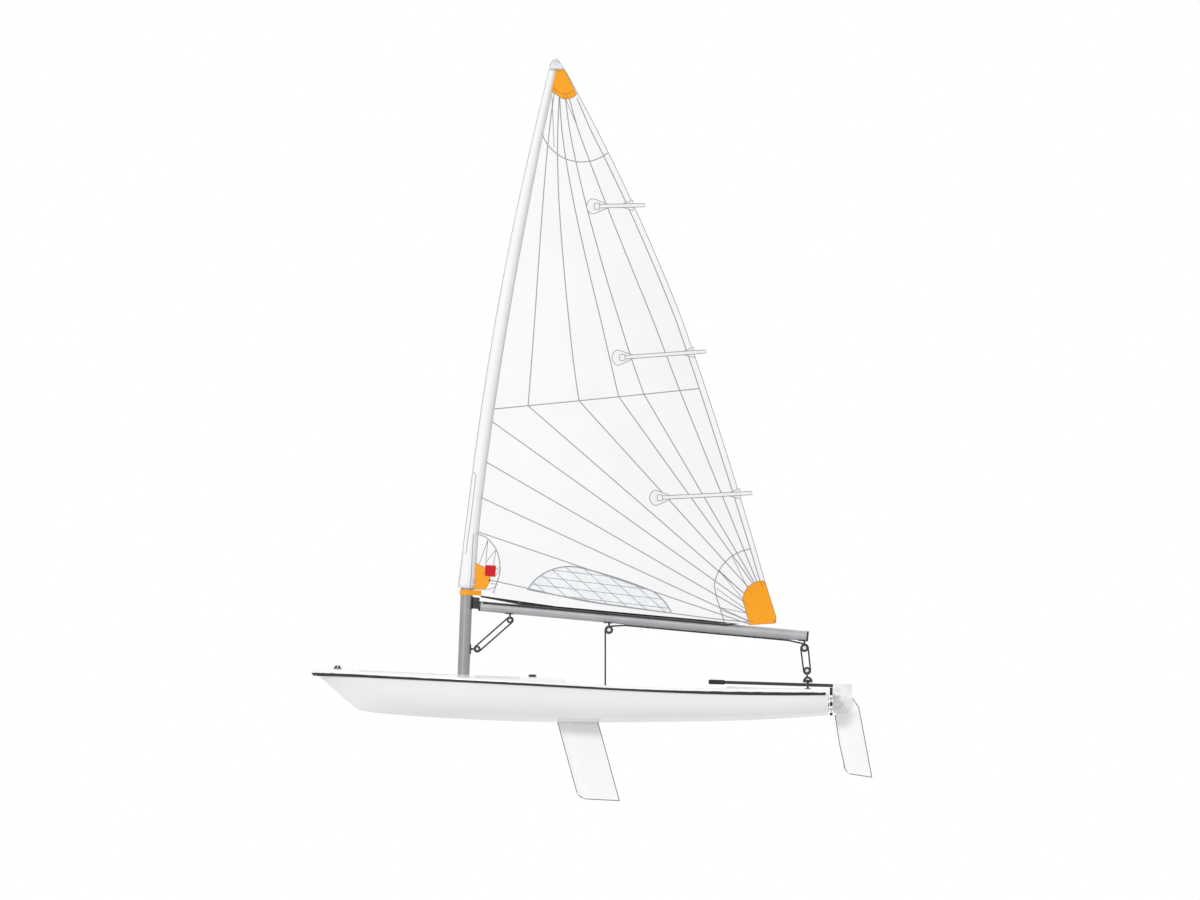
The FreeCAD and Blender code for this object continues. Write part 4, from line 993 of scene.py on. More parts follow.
def upperSeamPath(head, middle, foot, bow, steps=40):
    s, end = seamSettings, onCrossSeam(foot)
    path = []
    for n in range(steps):
        t = n / steps
        share = head * (1 - t) * (1 - 2 * t) + middle * 4 * t * (1 - t) + foot * t * (2 * t - 1)
        share += bow * t * (1 - t) ** s["bowPower"] / s["bowPeak"]
        z = s["upperTop"] + (end[1] - s["upperTop"]) * t
        path.append((across(share, z), z))
    path.append(end)
    return runOn(path[::-1], s["underHead"])


def seamPaths():
    s = seamSettings
    paths = [upperSeamPath(*row) for row in s["upper"]]
    paths.append([onCrossSeam(n / 20) for n in range(21)])
    for share, x, z in s["lowerFromCross"]:
        paths.append(runOn([onCrossSeam(share), (x, z)], s["underClew"]))
    for height, x, z in s["lowerFromLuff"]:
        paths.append(runOn([(spanAt(outline, height)[1], height), (x, z)], s["fromLuffUnderClew"]))
    leech = [(hemAt(z), z) for z in np.linspace(s["leechFrom"], s["upperTop"], 60)]
    return paths + [smoothThrough(s["foot"]), leech, arcThrough(*s["headArc"]),
                    arcThrough(*s["clewArc"]) + s["clewArcEnd"], smoothThrough(s["tackArc"])]


width, half = sailSettings["seamWidth"], sailSettings["seamHalf"]
forms = [stripForm(path, width, half) for path in seamPaths()]
forms += [stripForm([(x0, z0), (x1, z1)], width * sailSettings["rowShare"], half)
          for x0, z0, x1, z1 in seamSettings["rows"]]
leechTape = [(spanAt(outline, z)[0] + sailSettings["leechTapeInside"], z)
             for z in np.linspace(*sailSettings["leechTapeHeights"], 160)]
forms.append(stripForm(leechTape, sailSettings["leechTape"], half))
seamPiece = addSeams("sail_seams", forms)
border = stripForm(windowLoop, sailSettings["borderWidth"], sailSettings["borderHalf"], closed=True)
borderPiece = addSeams("window_border", [border])

# threads of scrim in the window: two sets of parallel lines, clipped to its outline
scrimSettings = {"width": 0.0045, "half": 0.0007, "shortest": 0.02, "first": 0.7,
                 "sets": ((-41.5, 0.088), (-6.5, 0.067))}


def clippedLines(loop, degrees, pitch):
    run = Vector((-math.cos(math.radians(degrees)), math.sin(math.radians(degrees))))
    side = Vector((-run.y, run.x))
    offsets = [side.dot(Vector(point)) for point in loop]
    offset = min(offsets) + pitch * scrimSettings["first"]
    while offset < max(offsets):
        crossings = []
        for a, b in pairs([Vector(point) for point in loop]):
            da, db = side.dot(a) - offset, side.dot(b) - offset
            if (da > 0) != (db > 0):
                crossings.append(run.dot(a.lerp(b, da / (da - db))))
        crossings.sort()
        for low, high in zip(crossings[::2], crossings[1::2]):
            if high - low > scrimSettings["shortest"]:
                yield [tuple(run * t + side * offset) for t in (low, high)]
        offset += pitch


scrimPiece = addSeams("window_scrim", [stripForm(path, scrimSettings["width"], scrimSettings["half"])
                                       for degrees, pitch in scrimSettings["sets"]
                                       for path in clippedLines(windowLoop, degrees, pitch)], "scrimGrey")

# corner patches and the blank tag: half of each one's thickness
patchSettings = {
    "spacing": 0.03, "edge": 0.004, "edgeHalf": 0.0004,
    "patches": {"head_patch": 0.0021, "tack_patch": 0.0021, "clew_patch": 0.0021, "tack_tag": 0.0027},
}
patchPieces = []
for node, half in patchSettings["patches"].items():
    colour, thread, slotName = "sailOrange", "seamOrange", "sail_orange"
    if node == "tack_tag":
        colour, thread, slotName = "tagRed", "seamRed", "tag_red"
    loop, spacing = portLoops(node)[0], patchSettings["spacing"]
    form = clothForm([loop], spacing, -half, half)
    patch = addPiece(node + "_cloth", form, colour, "rig", slotName, clothCorner)
    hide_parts(node)
    half += patchSettings["edgeHalf"]
    edge = stripForm(evenLoop(loop, spacing), patchSettings["edge"], half, closed=True)
    patchPieces += [patch, addSeams(node + "_edge", [edge], thread, slotName)]
print("sail panels, seams and patches made")

# battens: nose patch, pocket, its pad and leech patch
battenSettings = {
    # the nose patch is round to its sides and tapers from its shoulders to the pocket
    "noseLength": 0.16, "noseHalf": 0.062, "noseBack": 0.012, "noseSides": 0.03, "shoulders": 0.06,
    "shoulderShare": 0.9, "pocketHalf": 0.014, "pocketFrom": 0.05, "endDepth": 0.004,
    "flareHalf": 0.043, "flareLength": 0.085, "flareFromEnd": 0.095, "padHalf": 0.024, "padTo": 0.092,
    "spacing": 0.03, "line": 0.005, "lineHalf": 0.0003,
    # how far each layer stands to port and to starboard
    "layers": {"nose": (0.0016, 0.0016), "flare": (0.0016, 0.0016), "pocket": (0.0026, 0.0006),
               "pad": (0.0036, 0.0006)},
}


def battenEnds(node):
    low, high, middle = boxOf(node)
    points = weldedTriangles(node)[0]
    front = points[points[:, 0] > high.x - battenSettings["endDepth"]]
    back = points[points[:, 0] < low.x + battenSettings["endDepth"]]
    return Vector((high.x, front[:, 2].mean())), Vector((low.x, back[:, 2].mean()))


def battenPieces(node):
    s = battenSettings
    nose, tail = battenEnds(node)
    run, length = (tail - nose).normalized(), (tail - nose).length
    side = Vector((-run.y, run.x))

    def at(along, off):
        return tuple(nose + run * along + side * off)

    def band(start, startHalf, end, endHalf):
        return [at(start, startHalf), at(start, -startHalf), at(end, -endHalf), at(end, endHalf)]

    wide, narrow, flareEnd = s["noseHalf"], s["pocketHalf"], length - s["flareFromEnd"]
    taper = band(s["shoulders"], wide * s["shoulderShare"], s["noseLength"], narrow)
    front = arcThrough(at(s["noseSides"], wide), at(-s["noseBack"], 0), at(s["noseSides"], -wide), 14)
    shapes = {
        "nose": front + taper[1:] + taper[:1],
        "flare": band(flareEnd - s["flareLength"], narrow, flareEnd, s["flareHalf"]),
        "pocket": band(s["pocketFrom"], narrow, length, narrow),
        "pad": band(s["pocketFrom"], s["padHalf"], s["padTo"], s["padHalf"]),
    }
    cloth = [clothForm([shapes[layer]], s["spacing"], -starboard, port)
             for layer, (port, starboard) in s["layers"].items()]
    lines = [stripForm(evenLoop(shapes[layer], s["spacing"]), s["line"], port + s["lineHalf"], closed=True)
             for layer, (port, starboard) in s["layers"].items()]
    pocketPiece = addPiece(node + "_pocket", gather(cloth), "patchWhite", "rig", "batten_white", clothCorner)
    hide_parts(node)
    return [pocketPiece, addSeams(node + "_stitching", lines, "borderGrey", "batten_white")]


battens = []
for node in ("batten_top", "batten_middle", "batten_lower"):
    battens += battenPieces(node)
print("battens made")

# luff sleeve, round the upper mast
sleeveSettings = {
    "tail": 0.010, "wall": 0.0015, "rows": 110, "around": 30, "openDegrees": 150.0,
    # its ends are cut square to the mast, so the first and last rows lie inside them
    "ends": 0.014, "square": 0.09, "endMore": 0.007, "flare": 0.015, "flareFrom": 1.45, "flarePower": 1.4,
    "fold": 0.0009, "folds": ((1.3, 5.0, 1.0, 1.0), (3.0, 14.0, 7.0, 0.6)),
    "seams": (0.004, 0.015), "seamWidth": 0.005, "seamHalf": 0.0014, "rowHalf": 0.0022,
    "tapeDegrees": 22.0, "tapeStand": 0.0016, "tapeSunk": 0.0008, "tapeSteps": 6,
    # rows of stitching on it: the pad over the mast's joint, and the front of the tack's doubling
    "rowPaths": [[(0.793, 1.971), (0.775, 1.945), (0.786, 1.841), (0.817, 1.581), (0.836, 1.457),
                  (0.855, 1.308)],
                 [(0.765, 1.472), (0.792, 1.470), (0.799, 1.395), (0.811, 1.147), (0.820, 1.030)]],
}


def sleeveRings():
    # height, x of the middle, and half its length and width, read from the CAD sleeve
    s = sleeveSettings
    points, triangles = weldedTriangles("luff_sleeve")
    low, high, middle = boxOf("luff_sleeve")
    rings = []
    for row in range(s["rows"]):
        z = low.z + s["ends"] + (high.z - low.z - 2 * s["ends"]) * row / (s["rows"] - 1)
        hits = []
        for triangle in triangles:
            for a, b in pairs([points[index] for index in triangle]):
                if (a[2] > z) != (b[2] > z):
                    hits.append(a + (b - a) * (z - a[2]) / (b[2] - a[2]))
        lowest, highest = np.min(hits, axis=0), np.max(hits, axis=0)
        share = max(0.0, (s["flareFrom"] - z) / (s["flareFrom"] - low.z))
        flare = s["flare"] * share ** s["flarePower"]
        rings.append((z, (lowest[0] + highest[0] + flare) / 2, (highest[0] - lowest[0] + flare) / 2,
                      (highest[1] - lowest[1]) / 2))
    rings[0] = (rings[0][0] - s["endMore"],) + rings[0][1:]
    rings[-1] = (rings[-1][0] + s["endMore"],) + rings[-1][1:]
    return rings


def makeSleeve():
    s = sleeveSettings
    turns = [math.radians(s["openDegrees"]) * (2 * n / s["around"] - 1) for n in range(s["around"] + 1)]
    points = []
    for z, centre, rx, ry in sleeveRows:
        for turn in turns:
            fold = sum(noise.noise(Vector((turn * a, z * b, c))) * share for a, b, c, share in s["folds"])
            grow = 1 + s["fold"] * fold / rx
            out = rx * grow * math.cos(turn)
            points.append((centre + out, ry * grow * math.sin(turn), z + out * s["square"]))
        points.append(tuple(sailSpot(centre - rx - s["tail"], z)))
    faces = joinRings(len(sleeveRows), len(turns) + 1, capped=False)
    sleeve = addPiece("sleeve_cloth", (points, faces), "sailcloth", "rig", "sailcloth_sleeve")
    thick = sleeve.modifiers.new("wall", "SOLIDIFY")
    thick.thickness = s["wall"]
    thick.offset = -1.0
    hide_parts("luff_sleeve")
    return sleeve


def makeSleeveTape():
    # along the leading edge
    s = sleeveSettings
    steps = s["tapeSteps"]
    turns = [math.radians(s["tapeDegrees"]) * (2 * n / steps - 1) for n in range(steps + 1)]
    points, places = [], []
    for z, centre, rx, ry in sleeveRows:
        for grow, side in ((s["tapeStand"], turns), (-s["tapeSunk"], turns[::-1])):
            for turn in side:
                out = (rx + grow) * math.cos(turn)
                points.append((centre + out, (ry + grow) * math.sin(turn), z + out * s["square"]))
                places.append((turn / turns[-1], z, 0.0))
    form = (points, joinRings(len(sleeveRows), 2 * len(turns)), places)
    addPiece("sleeve_tape", form, "seamGrey", "rig", "sailcloth_sleeve", 50, "seamPlace")


def sleeveSide(side):
    # the sleeve's own surface to port (1) or to starboard (-1)
    heights, centres, reaches, halves = (np.array(column) for column in zip(*sleeveRows))

    def surface(xs, zs):
        centre, rx, ry = (np.interp(zs, heights, column) for column in (centres, reaches, halves))
        return side * ry * np.sqrt(np.maximum(0.0, 1 - ((np.array(xs) - centre) / rx) ** 2))
    return surface


sleeveRows = sleeveRings()
sleeve = makeSleeve()
makeSleeveTape()
forms = []
for inside in sleeveSettings["seams"]:
    path = [(spanAt(outline, z)[1] - inside, z) for z in np.linspace(*seamSettings["luffHeights"], 80)]
    forms.append(stripForm(path, sleeveSettings["seamWidth"], sleeveSettings["seamHalf"]))
for path in sleeveSettings["rowPaths"]:
    for side in (-1, 1):
        forms.append(stripForm(path, sleeveSettings["seamWidth"], sleeveSettings["rowHalf"],
                               surface=sleeveSide(side)))
addSeams("luff_seam", forms)
print("luff sleeve made")

# ropes; the falls between hull and boom are finely divided, because they bend far when the mast turns
ropeSettings = {
    "sheet": 0.013, "vang": 0.013, "outhaul": 0.014, "traveller": 0.008, "groove": 0.003, "sheave": 0.8,
    "fallStep": 0.002, "midFallStep": 0.004, "boomStep": 0.05, "underBoom": 0.001,
    # which way each block's eye lies from its pin
    "blocks": {"end_sheet_block": "up", "mid_sheet_block": "up", "tackle_block": "down",
               "ratchet_block": "down", "vang_lower_block": "forward", "vang_upper_block": "up"},
}


def blockSpot(node, eye):
    # a block's pin and its radius
    low, high, middle = boxOf(node)
    if eye == "forward":
        radius = (high.z - low.z) / 2
        return Vector((low.x + radius, 0, middle.z)), radius
    radius = (high.x - low.x) / 2
    return Vector((middle.x, 0, low.z + radius if eye == "up" else high.z - radius)), radius


def runRadius(blockRadius):
    return ropeSettings["sheave"] * blockRadius + ropeSettings["groove"]


def addRope(name, paths, diameter, body):
    form = gather([ropeForm(path, diameter) for path in paths])
    return addPiece(name, form, "blackRope", body, "rope_black", placesName="ropePlace")


blocks = {node: blockSpot(node, eye) for node, eye in ropeSettings["blocks"].items()}
endBlock, endR = blocks["end_sheet_block"]
midBlock, midR = blocks["mid_sheet_block"]
tackleBlock, tackleR = blocks["tackle_block"]
ratchetBlock, ratchetR = blocks["ratchet_block"]


def crossFall():
    # two falls between the boom's end and the ring on the stern
    r0, r1, step = runRadius(endR), runRadius(tackleR), ropeSettings["fallStep"]
    aft = stretch(endBlock + Vector((-r0, 0, 0)), tackleBlock + Vector((-r1, 0, 0)), step)
    under = wrap(tackleBlock, r1, 180, 360)
    fore = stretch(tackleBlock + Vector((r1, 0, 0)), endBlock + Vector((r0, 0, 0)), step)
    return aft + under[1:-1] + fore


def midFall():
    r0, r1, step = runRadius(midR), runRadius(ratchetR), ropeSettings["midFallStep"]
    down = stretch(midBlock + Vector((r0, 0, 0)), ratchetBlock + Vector((r1, 0, 0)), step)
    return down + wrap(ratchetBlock, r1, 0, -200)[1:]


fallPiece = addRope("sheet_falls", [crossFall()], ropeSettings["sheet"], None)
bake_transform(fallPiece)
midPiece = addRope("sheet_mid_fall", [midFall()], ropeSettings["sheet"], None)
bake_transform(midPiece)

# the sheet's run under the boom, and the keepers that hold it there
boomLow, boomHigh = boxOf("boom")[:2]
boomR = (boomHigh.y - boomLow.y) / 2
boomSlope = (boomHigh.z - boomLow.z - 2 * boomR) / (boomHigh.x - boomLow.x)
underBoom = -boomR - ropeSettings["sheet"] / 2 - ropeSettings["underBoom"]
keeperSettings = {"spots": (-0.62, -1.05, -1.48), "enter": 0.13, "radius": 0.0092, "wire": 0.0024,
                  "wraps": ((180, 108), (72, 0))}


def boomAt(x, away):
    # a place in the boat's centre plane, this far above the boom's axis
    return Vector((x, 0, boomHigh.z - boomR + (x - boomHigh.x) * boomSlope + away))


def boomRun():
    # over the end block, along close under the boom through its keepers, over the middle block
    s = keeperSettings
    enter, leave = boomAt(endBlock.x + s["enter"], underBoom), boomAt(midBlock.x - s["enter"], underBoom)
    first = wrap(endBlock, runRadius(endR), *s["wraps"][0])
    last = wrap(midBlock, runRadius(midR), *s["wraps"][1])
    return (first + stretch(first[-1], enter)[1:-1] + stretch(enter, leave, ropeSettings["boomStep"])
            + stretch(leave, last[0])[1:-1] + last)


addRope("sheet_under_boom", [boomRun()], ropeSettings["sheet"], "rig")
keepers = [ring(boomAt(x, underBoom), (1, 0, boomSlope), keeperSettings["radius"], keeperSettings["wire"])
           for x in keeperSettings["spots"]]
addPiece("sheet_keepers", gather(keepers), "blackNylon", "rig", "black_plastic")


def vangLoop():
    (lower, lowerR), (upper, upperR) = blocks["vang_lower_block"], blocks["vang_upper_block"]
    run = upper - lower
    lean = math.degrees(math.atan2(run.z, run.x))
    low = wrap(lower, runRadius(lowerR), lean + 90, lean + 270)
    high = wrap(upper, runRadius(upperR), lean + 270, lean + 450)
    return low + stretch(low[-1], high[0])[1:-1] + high + stretch(high[-1], low[0])[1:]


vangPiece = addRope("vang_falls", [vangLoop()], ropeSettings["vang"], "rig")
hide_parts("vang_rope")

# outhaul: one part runs on the boom's port shoulder from its front, two come down from the tack strap
# and land on the boom's top one after the other, and all of them rise to the clew behind the sail's foot
outhaulSettings = {
    "front": 0.022, "lands": (None, 0.12, 0.42), "leanDegrees": (50.0, 0.0, 0.0), "clewFrom": -1.25,
    "behind": 0.012, "clear": 0.0005, "intoClew": 0.02, "clewRise": 0.020, "apart": 0.008, "intoStrap": 0.006,
    "strapStep": 0.04, "eye": 0.0092, "eyeWire": 0.0026,
}
clewLow, clewHigh = boxOf("clew_patch")[:2]
strapCorner = boxOf("tack_strap")[0]


def outhaulRun(part):
    s, step = outhaulSettings, ropeSettings["boomStep"]
    lean, rise = math.radians(s["leanDegrees"][part]), boomR + ropeSettings["outhaul"] / 2 + s["clear"]
    off = Vector((0, rise * math.sin(lean), 0))
    lift = boomAt(s["clewFrom"], rise * math.cos(lean)) + off
    end = sailSpot(clewHigh.x - s["intoClew"], clewLow.z + s["clewRise"] + part * s["apart"], -s["behind"])
    tail = stretch(lift, end)[1:]
    if part == 0:
        front = boomAt(boomHigh.x - s["front"], rise * math.cos(lean)) + off
        return stretch(front, lift, step) + tail
    strap = Vector((strapCorner.x + s["intoStrap"], 0, strapCorner.z - s["intoStrap"]))
    land = boomAt(s["lands"][part], rise)
    return stretch(strap, land, s["strapStep"]) + stretch(land, lift, step)[1:] + tail


outhaulRuns = [outhaulRun(part) for part in range(len(outhaulSettings["lands"]))]
frontEye = outhaulRuns[0][1].lerp(outhaulRuns[0][0], 0.5)
eyeForm = ring(frontEye, (1, 0, boomSlope), outhaulSettings["eye"], outhaulSettings["eyeWire"])
addPiece("outhaul_eye", eyeForm, "blackNylon", "rig", "black_plastic")
addRope("outhaul", outhaulRuns, ropeSettings["outhaul"], "rig")

# traveller: through the ring and the fairleads, with a knot at each end
travellerSettings = {"knotInside": 0.009, "knotSize": 0.018, "step": 0.04}


def travellerPaths():
    s = travellerSettings
    low, high, middle = boxOf("traveller_rope")
    knots = [Vector((middle.x, side * (high.y - s["knotInside"]), middle.z)) for side in (-1, 1)]
    return [stretch(*knots, s["step"])] + [knotPath(knot, (0, side, 0), s["knotSize"])
                                           for side, knot in zip((-1, 1), knots)]


travellerPiece = addRope("traveller_line", travellerPaths(), ropeSettings["traveller"], "hull")
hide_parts("traveller_rope")
print("ropes made")

# hiking strap
strapSettings = {"width": 0.052, "thick": 0.003, "sag": 0.005, "rows": 60, "cup": 0.0015, "wave": 0.001,
                 "waves": 9, "across": [-1.0, -0.5, 0.0, 0.5, 1.0], "corner": 35}


def makeStrap():
    s = strapSettings
    low, high, middle = boxOf("hiking_strap")
    halfThick, across = s["thick"] / 2, s["across"]
    front, back = Vector((high.x, 0, low.z + halfThick)), Vector((low.x, 0, high.z - halfThick))
    points, places = [], []
    for row in range(s["rows"] + 1):
        t = row / s["rows"]
        centre = front.lerp(back, t)
        centre.z -= s["sag"] * 4 * t * (1 - t)
        for away, shares in ((halfThick, across), (-halfThick, across[::-1])):
            for share in shares:
                wave = noise.noise(Vector((share, t * s["waves"], 2)))
                rise = s["cup"] * (1 - share * share) + s["wave"] * wave
                points.append((centre.x, share * s["width"] / 2, centre.z + away + rise))
                places.append((share, t * (back - front).length, 0.0))
    form = (points, joinRings(s["rows"] + 1, 2 * len(across)), places)
    strap = addPiece("strap_webbing", form, "webbing", "hull", "webbing_black", s["corner"], "seamPlace")
    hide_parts("hiking_strap")


makeStrap()

# screws: the head's profile, and where the screws are in each fitting. Those that lie flat have their
# distances from the fitting's middle, fore and aft and across, and the rise above its base.
screwSettings = {
    "profile": [(-0.002, 0.0046), (0.0, 0.0046), (0.0012, 0.0042), (0.002, 0.003), (0.0024, 0.0012)],
    "sides": 16, "corner": 50,
    "flat": {"bow_eye": (0.024, 0.0095, 0.0085), "fairlead_port": (0.018, 0.0, 0.0085),
             "fairlead_starboard": (0.018, 0.0, 0.0085)},
    "cleatPlate": (0.027, 0.055), "strapPlate": (0.014, 0.022),
    # the gudgeons' are inside the front edge, across and up; the hangers' inside the ends, across, leaning
    "gudgeon": (0.004, 0.019, 0.015), "hanger": (0.009, 0.0235, -1.6),
}


def addScrews(name, spots, body):
    s = screwSettings
    heads = [lathe(Vector(spot), axis, s["profile"], s["sides"]) for spot, axis in spots]
    addPiece(name, gather(heads), "stainless", body, "stainless", s["corner"])


def hullScrews():
    s, up, both = screwSettings, (0, 0, 1), (-1, 1)
    spots = []
    for node, (along, across, rise) in s["flat"].items():
        low, high, middle = boxOf(node)
        for y in sorted({middle.y - across, middle.y + across}):
            spots += [((middle.x + side * along, y, low.z + rise), up) for side in both]
    low, high, middle = boxOf("cleat_plate")
    along, across = s["cleatPlate"]
    spots += [((middle.x + a * along, b * across, high.z), up) for a in both for b in both]
    inside, across, rise = s["gudgeon"]
    for node in ("gudgeon_upper", "gudgeon_lower"):
        low, high, middle = boxOf(node)
        spots += [((high.x - inside, a * across, middle.z + b * rise), (-1, 0, 0))
                  for a in both for b in both]
    low, high, middle = boxOf("hiking_strap_plate")
    along, across = s["strapPlate"]
    return spots + [((middle.x + along, side * across, high.z), up) for side in both]


def rigScrews():
    spots = []
    inside, across, lean = screwSettings["hanger"]
    for node in ("mid_sheet_hanger", "end_sheet_hanger", "vang_hanger"):
        low, high, middle = boxOf(node)
        for x in (low.x + inside, high.x - inside):
            spots += [((x, side * across, middle.z), (0, side, lean)) for side in (-1, 1)]
    return spots


addScrews("hull_screws", hullScrews(), "hull")
addScrews("rig_screws", rigScrews(), "rig")

# pale hub caps on both cheeks of each block
hubSettings = {"profile": [(-0.002, 1.0), (0.0, 1.0), (0.0012, 0.94), (0.0018, 0.6), (0.0019, 0.2)],
               "share": 0.43, "corner": 40}


def addHubs(name, owners, body):
    forms = []
    for node in owners:
        pin, radius = blocks[node]
        low, high, middle = boxOf(node)
        profile = [(along, share * radius * hubSettings["share"]) for along, share in hubSettings["profile"]]
        forms += [lathe(Vector((pin.x, side * (high.y - low.y) / 2, pin.z)), (0, side, 0), profile)
                  for side in (-1, 1)]
    addPiece(name, gather(forms), "hubWhite", body, "black_plastic", hubSettings["corner"])


onHull = ("tackle_block", "ratchet_block")
addHubs("rig_block_hubs", [node for node in blocks if node not in onHull], "rig")
addHubs("hull_block_hubs", onHull, "hull")

# a small red tab sewn in beside the tack patch
tabSettings = {"outline": [(0.672, 1.101), (0.655, 1.098), (0.659, 1.082), (0.670, 1.080)], "spacing": 0.01,
               "half": 0.003}
half = tabSettings["half"]
tabForm = clothForm([tabSettings["outline"]], tabSettings["spacing"], -half, half)
addPiece("tack_tab", tabForm, "tagRed", "rig", "tag_red", clothCorner)

# the clew's bound eye and the pressed metal eyelets: radius and wire, and where they are
eyeletSettings = {
    "sides": 28, "clewEye": (0.0085, 0.0022), "clew": (-1.648, 0.760), "clewAway": 0.0022,
    # the tack's eyelet sits in the sleeve's tail, as wide as the share of the sleeve at a place near it
    "tackEye": (0.011, 0.0022), "tack": (0.791, 1.083), "tackLean": -0.5, "widthAt": ([0.803], [1.084]),
    "widthShare": 0.75,
    "capEye": (0.0150, 0.0020), "capTopEye": (0.0095, 0.0020), "capFore": 0.002, "capDown": 0.028,
    "capTopDown": 0.002,
}
capHigh, capMiddle = boxOf("masthead_cap")[1:]


def addEyelets():
    s, sides, across = eyeletSettings, eyeletSettings["sides"], (0, 1, 0)
    spots = [sailSpot(*s["clew"], side * s["clewAway"]) for side in (-1, 1)]
    eyes = [ring(spot, across, *s["clewEye"], sides) for spot in spots]
    addPiece("clew_eye", gather(eyes), "tagRed", "rig", "tag_red")
    forms = []
    x, z = s["tack"]
    for side in (-1, 1):
        y = float(sleeveSide(side)(*s["widthAt"])[0])
        spot = Vector((x, y * s["widthShare"], z))
        forms.append(ring(spot, (s["tackLean"], side, 0), *s["tackEye"], sides))
    x = capMiddle.x + s["capFore"]
    for side in (-1, 1):
        spot = Vector((x, side * capHigh.y, capHigh.z - s["capDown"]))
        forms.append(ring(spot, across, *s["capEye"], sides))
    forms.append(ring(Vector((x, 0, capHigh.z - s["capTopDown"])), across, *s["capTopEye"]))
    addPiece("eyelets", gather(forms), "stainless", "rig", "stainless")


addEyelets()

# fine rows of stitching: the head patch's inner row and two rings, and the ends of the doubling's rows
# that cross into the clew patch, as x and z of both ends
rowSettings = {
    "width": 0.004, "half": 0.0026, "arc": [(0.146, 5.095), (0.049, 5.034), (-0.024, 5.068)],
    "rings": [(0.049, 5.013, 0.018), (0.138, 5.062, 0.014)], "ringPoints": 20, "ringWidth": 0.003,
    "ringStep": 0.005,
    "ends": [(-1.427, 1.023, -1.456, 0.982), (-1.390, 0.928, -1.427, 0.887), (-1.531, 1.073, -1.551, 1.036),
             (-1.444, 0.763, -1.481, 0.752)],
    # the cap's bound edge, on both of its flat sides
    "capWidth": 0.0045, "capHalf": 0.0012, "capStep": 0.012,
}


def capEdge(side):
    s = rowSettings
    loop = evenLoop(portLoops("masthead_cap")[0], s["capStep"])
    return stripForm(loop, s["capWidth"], s["capHalf"], True, s["capStep"],
                     lambda xs, zs: np.full(len(xs), side * capHigh.y))


def headRows():
    s = rowSettings
    turns = [math.tau * n / s["ringPoints"] for n in range(s["ringPoints"])]
    rows = [stripForm(arcThrough(*s["arc"]), s["width"], s["half"])]
    for x, z, radius in s["rings"]:
        circle = [(x + radius * math.cos(turn), z + radius * math.sin(turn)) for turn in turns]
        rows.append(stripForm(circle, s["ringWidth"], s["half"], closed=True, step=s["ringStep"]))
    return rows + [stripForm([(x0, z0), (x1, z1)], s["width"], s["half"]) for x0, z0, x1, z1 in s["ends"]]


addSeams("cap_edge", [capEdge(side) for side in (-1, 1)])
addSeams("head_patch_row", headRows(), "seamOrange", "sail_orange")
print("small metal made")

# painted shade: black spacers on the rudder's pin fill its length below, between and above the two
# hinges, where the gap between transom and rudder head lies in shade, and turn with the rudder
gapShadeSpacerSettings = {"hinge": -2.104, "radius": 0.0115, "chamfer": 0.0012, "clear": 0.002, "low": -0.004,
                  "high": 0.226, "sides": 28, "corner": 40}


def makeGapShadeSpacers():
    s = gapShadeSpacerSettings
    radius, chamfer = s["radius"], s["chamfer"]
    heights = [s["low"] + s["clear"]]
    for node in ("pintle_lower", "pintle_upper"):
        low, high, middle = boxOf(node)
        heights += [low.z - s["clear"], high.z + s["clear"]]
    heights.append(s["high"] - s["clear"])
    forms = []
    for low, high in zip(heights[::2], heights[1::2]):
        profile = [(0.0, radius - chamfer), (chamfer, radius), (high - low - chamfer, radius),
                   (high - low, radius - chamfer)]
        forms.append(lathe(Vector((s["hinge"], 0, low)), (0, 0, 1), profile, s["sides"]))
    # black for the painted shade in the hinge gap
    addPiece("pin_gap_shade_spacers", gather(forms), "blackNylon", "rudder", "black_plastic", s["corner"])


makeGapShadeSpacers()
print("spacers made")

# painted shade: a black strip over the gunwale lip's underside, where the boat's white gelcoat lies in shade
lipShadeStrip = {"grow": 0.0025, "inset": 0.004, "from": -104.0, "to": -4.0, "steps": 8, "spacing": 0.05,
            "stern": -2.06, "fan": 1.90, "fanSteps": 18, "flat": 0.0004, "deep": 0.035, "corner": 50}


def rimSpot(points, triangles, centre, direction):
    # the outermost place of the gunwale in an upright plane, and the radius of its rounded edge
    away = (points[:, :2] - centre) @ np.array((-direction[1], direction[0]))
    out = (points[:, :2] - centre) @ np.array(direction)
    spots = []
    for first, second in pairs([0, 1, 2]):
        a, b = triangles[:, first], triangles[:, second]
        crossing = (away[a] > 0) != (away[b] > 0)
        a, b = a[crossing], b[crossing]
        t = away[a] / (away[a] - away[b])
        heights = points[a, 2] + (points[b, 2] - points[a, 2]) * t
        spots.append(np.stack([out[a] + (out[b] - out[a]) * t, heights], 1))
    spots = np.concatenate(spots)
    reach = spots[:, 0].max()
    flat = spots[spots[:, 0] > reach - lipShadeStrip["flat"]][:, 1]
    middle = (flat.min() + flat.max()) / 2
    lowest = spots[spots[:, 0] > reach - lipShadeStrip["deep"]][:, 1].min()
    return centre[0] + direction[0] * reach, centre[1] + direction[1] * reach, middle, middle - lowest


def gunwaleRim():
    # to port from the stern, round the bow and back to starboard
    s = lipShadeStrip
    points, triangles = weldedTriangles("deck_moulding")
    triangles = np.array(triangles)
    stations = np.arange(s["stern"], s["fan"], s["spacing"])
    rim = [rimSpot(points, triangles, (x, 0.0), (0.0, 1.0)) for x in stations]
    for n in range(s["fanSteps"] + 1):
        angle = math.radians(90 - 90 * n / s["fanSteps"])
        rim.append(rimSpot(points, triangles, (s["fan"], 0.0), (math.cos(angle), math.sin(angle))))
    return rim + [(x, -y, z, r) for x, y, z, r in reversed(rim[:-1])]


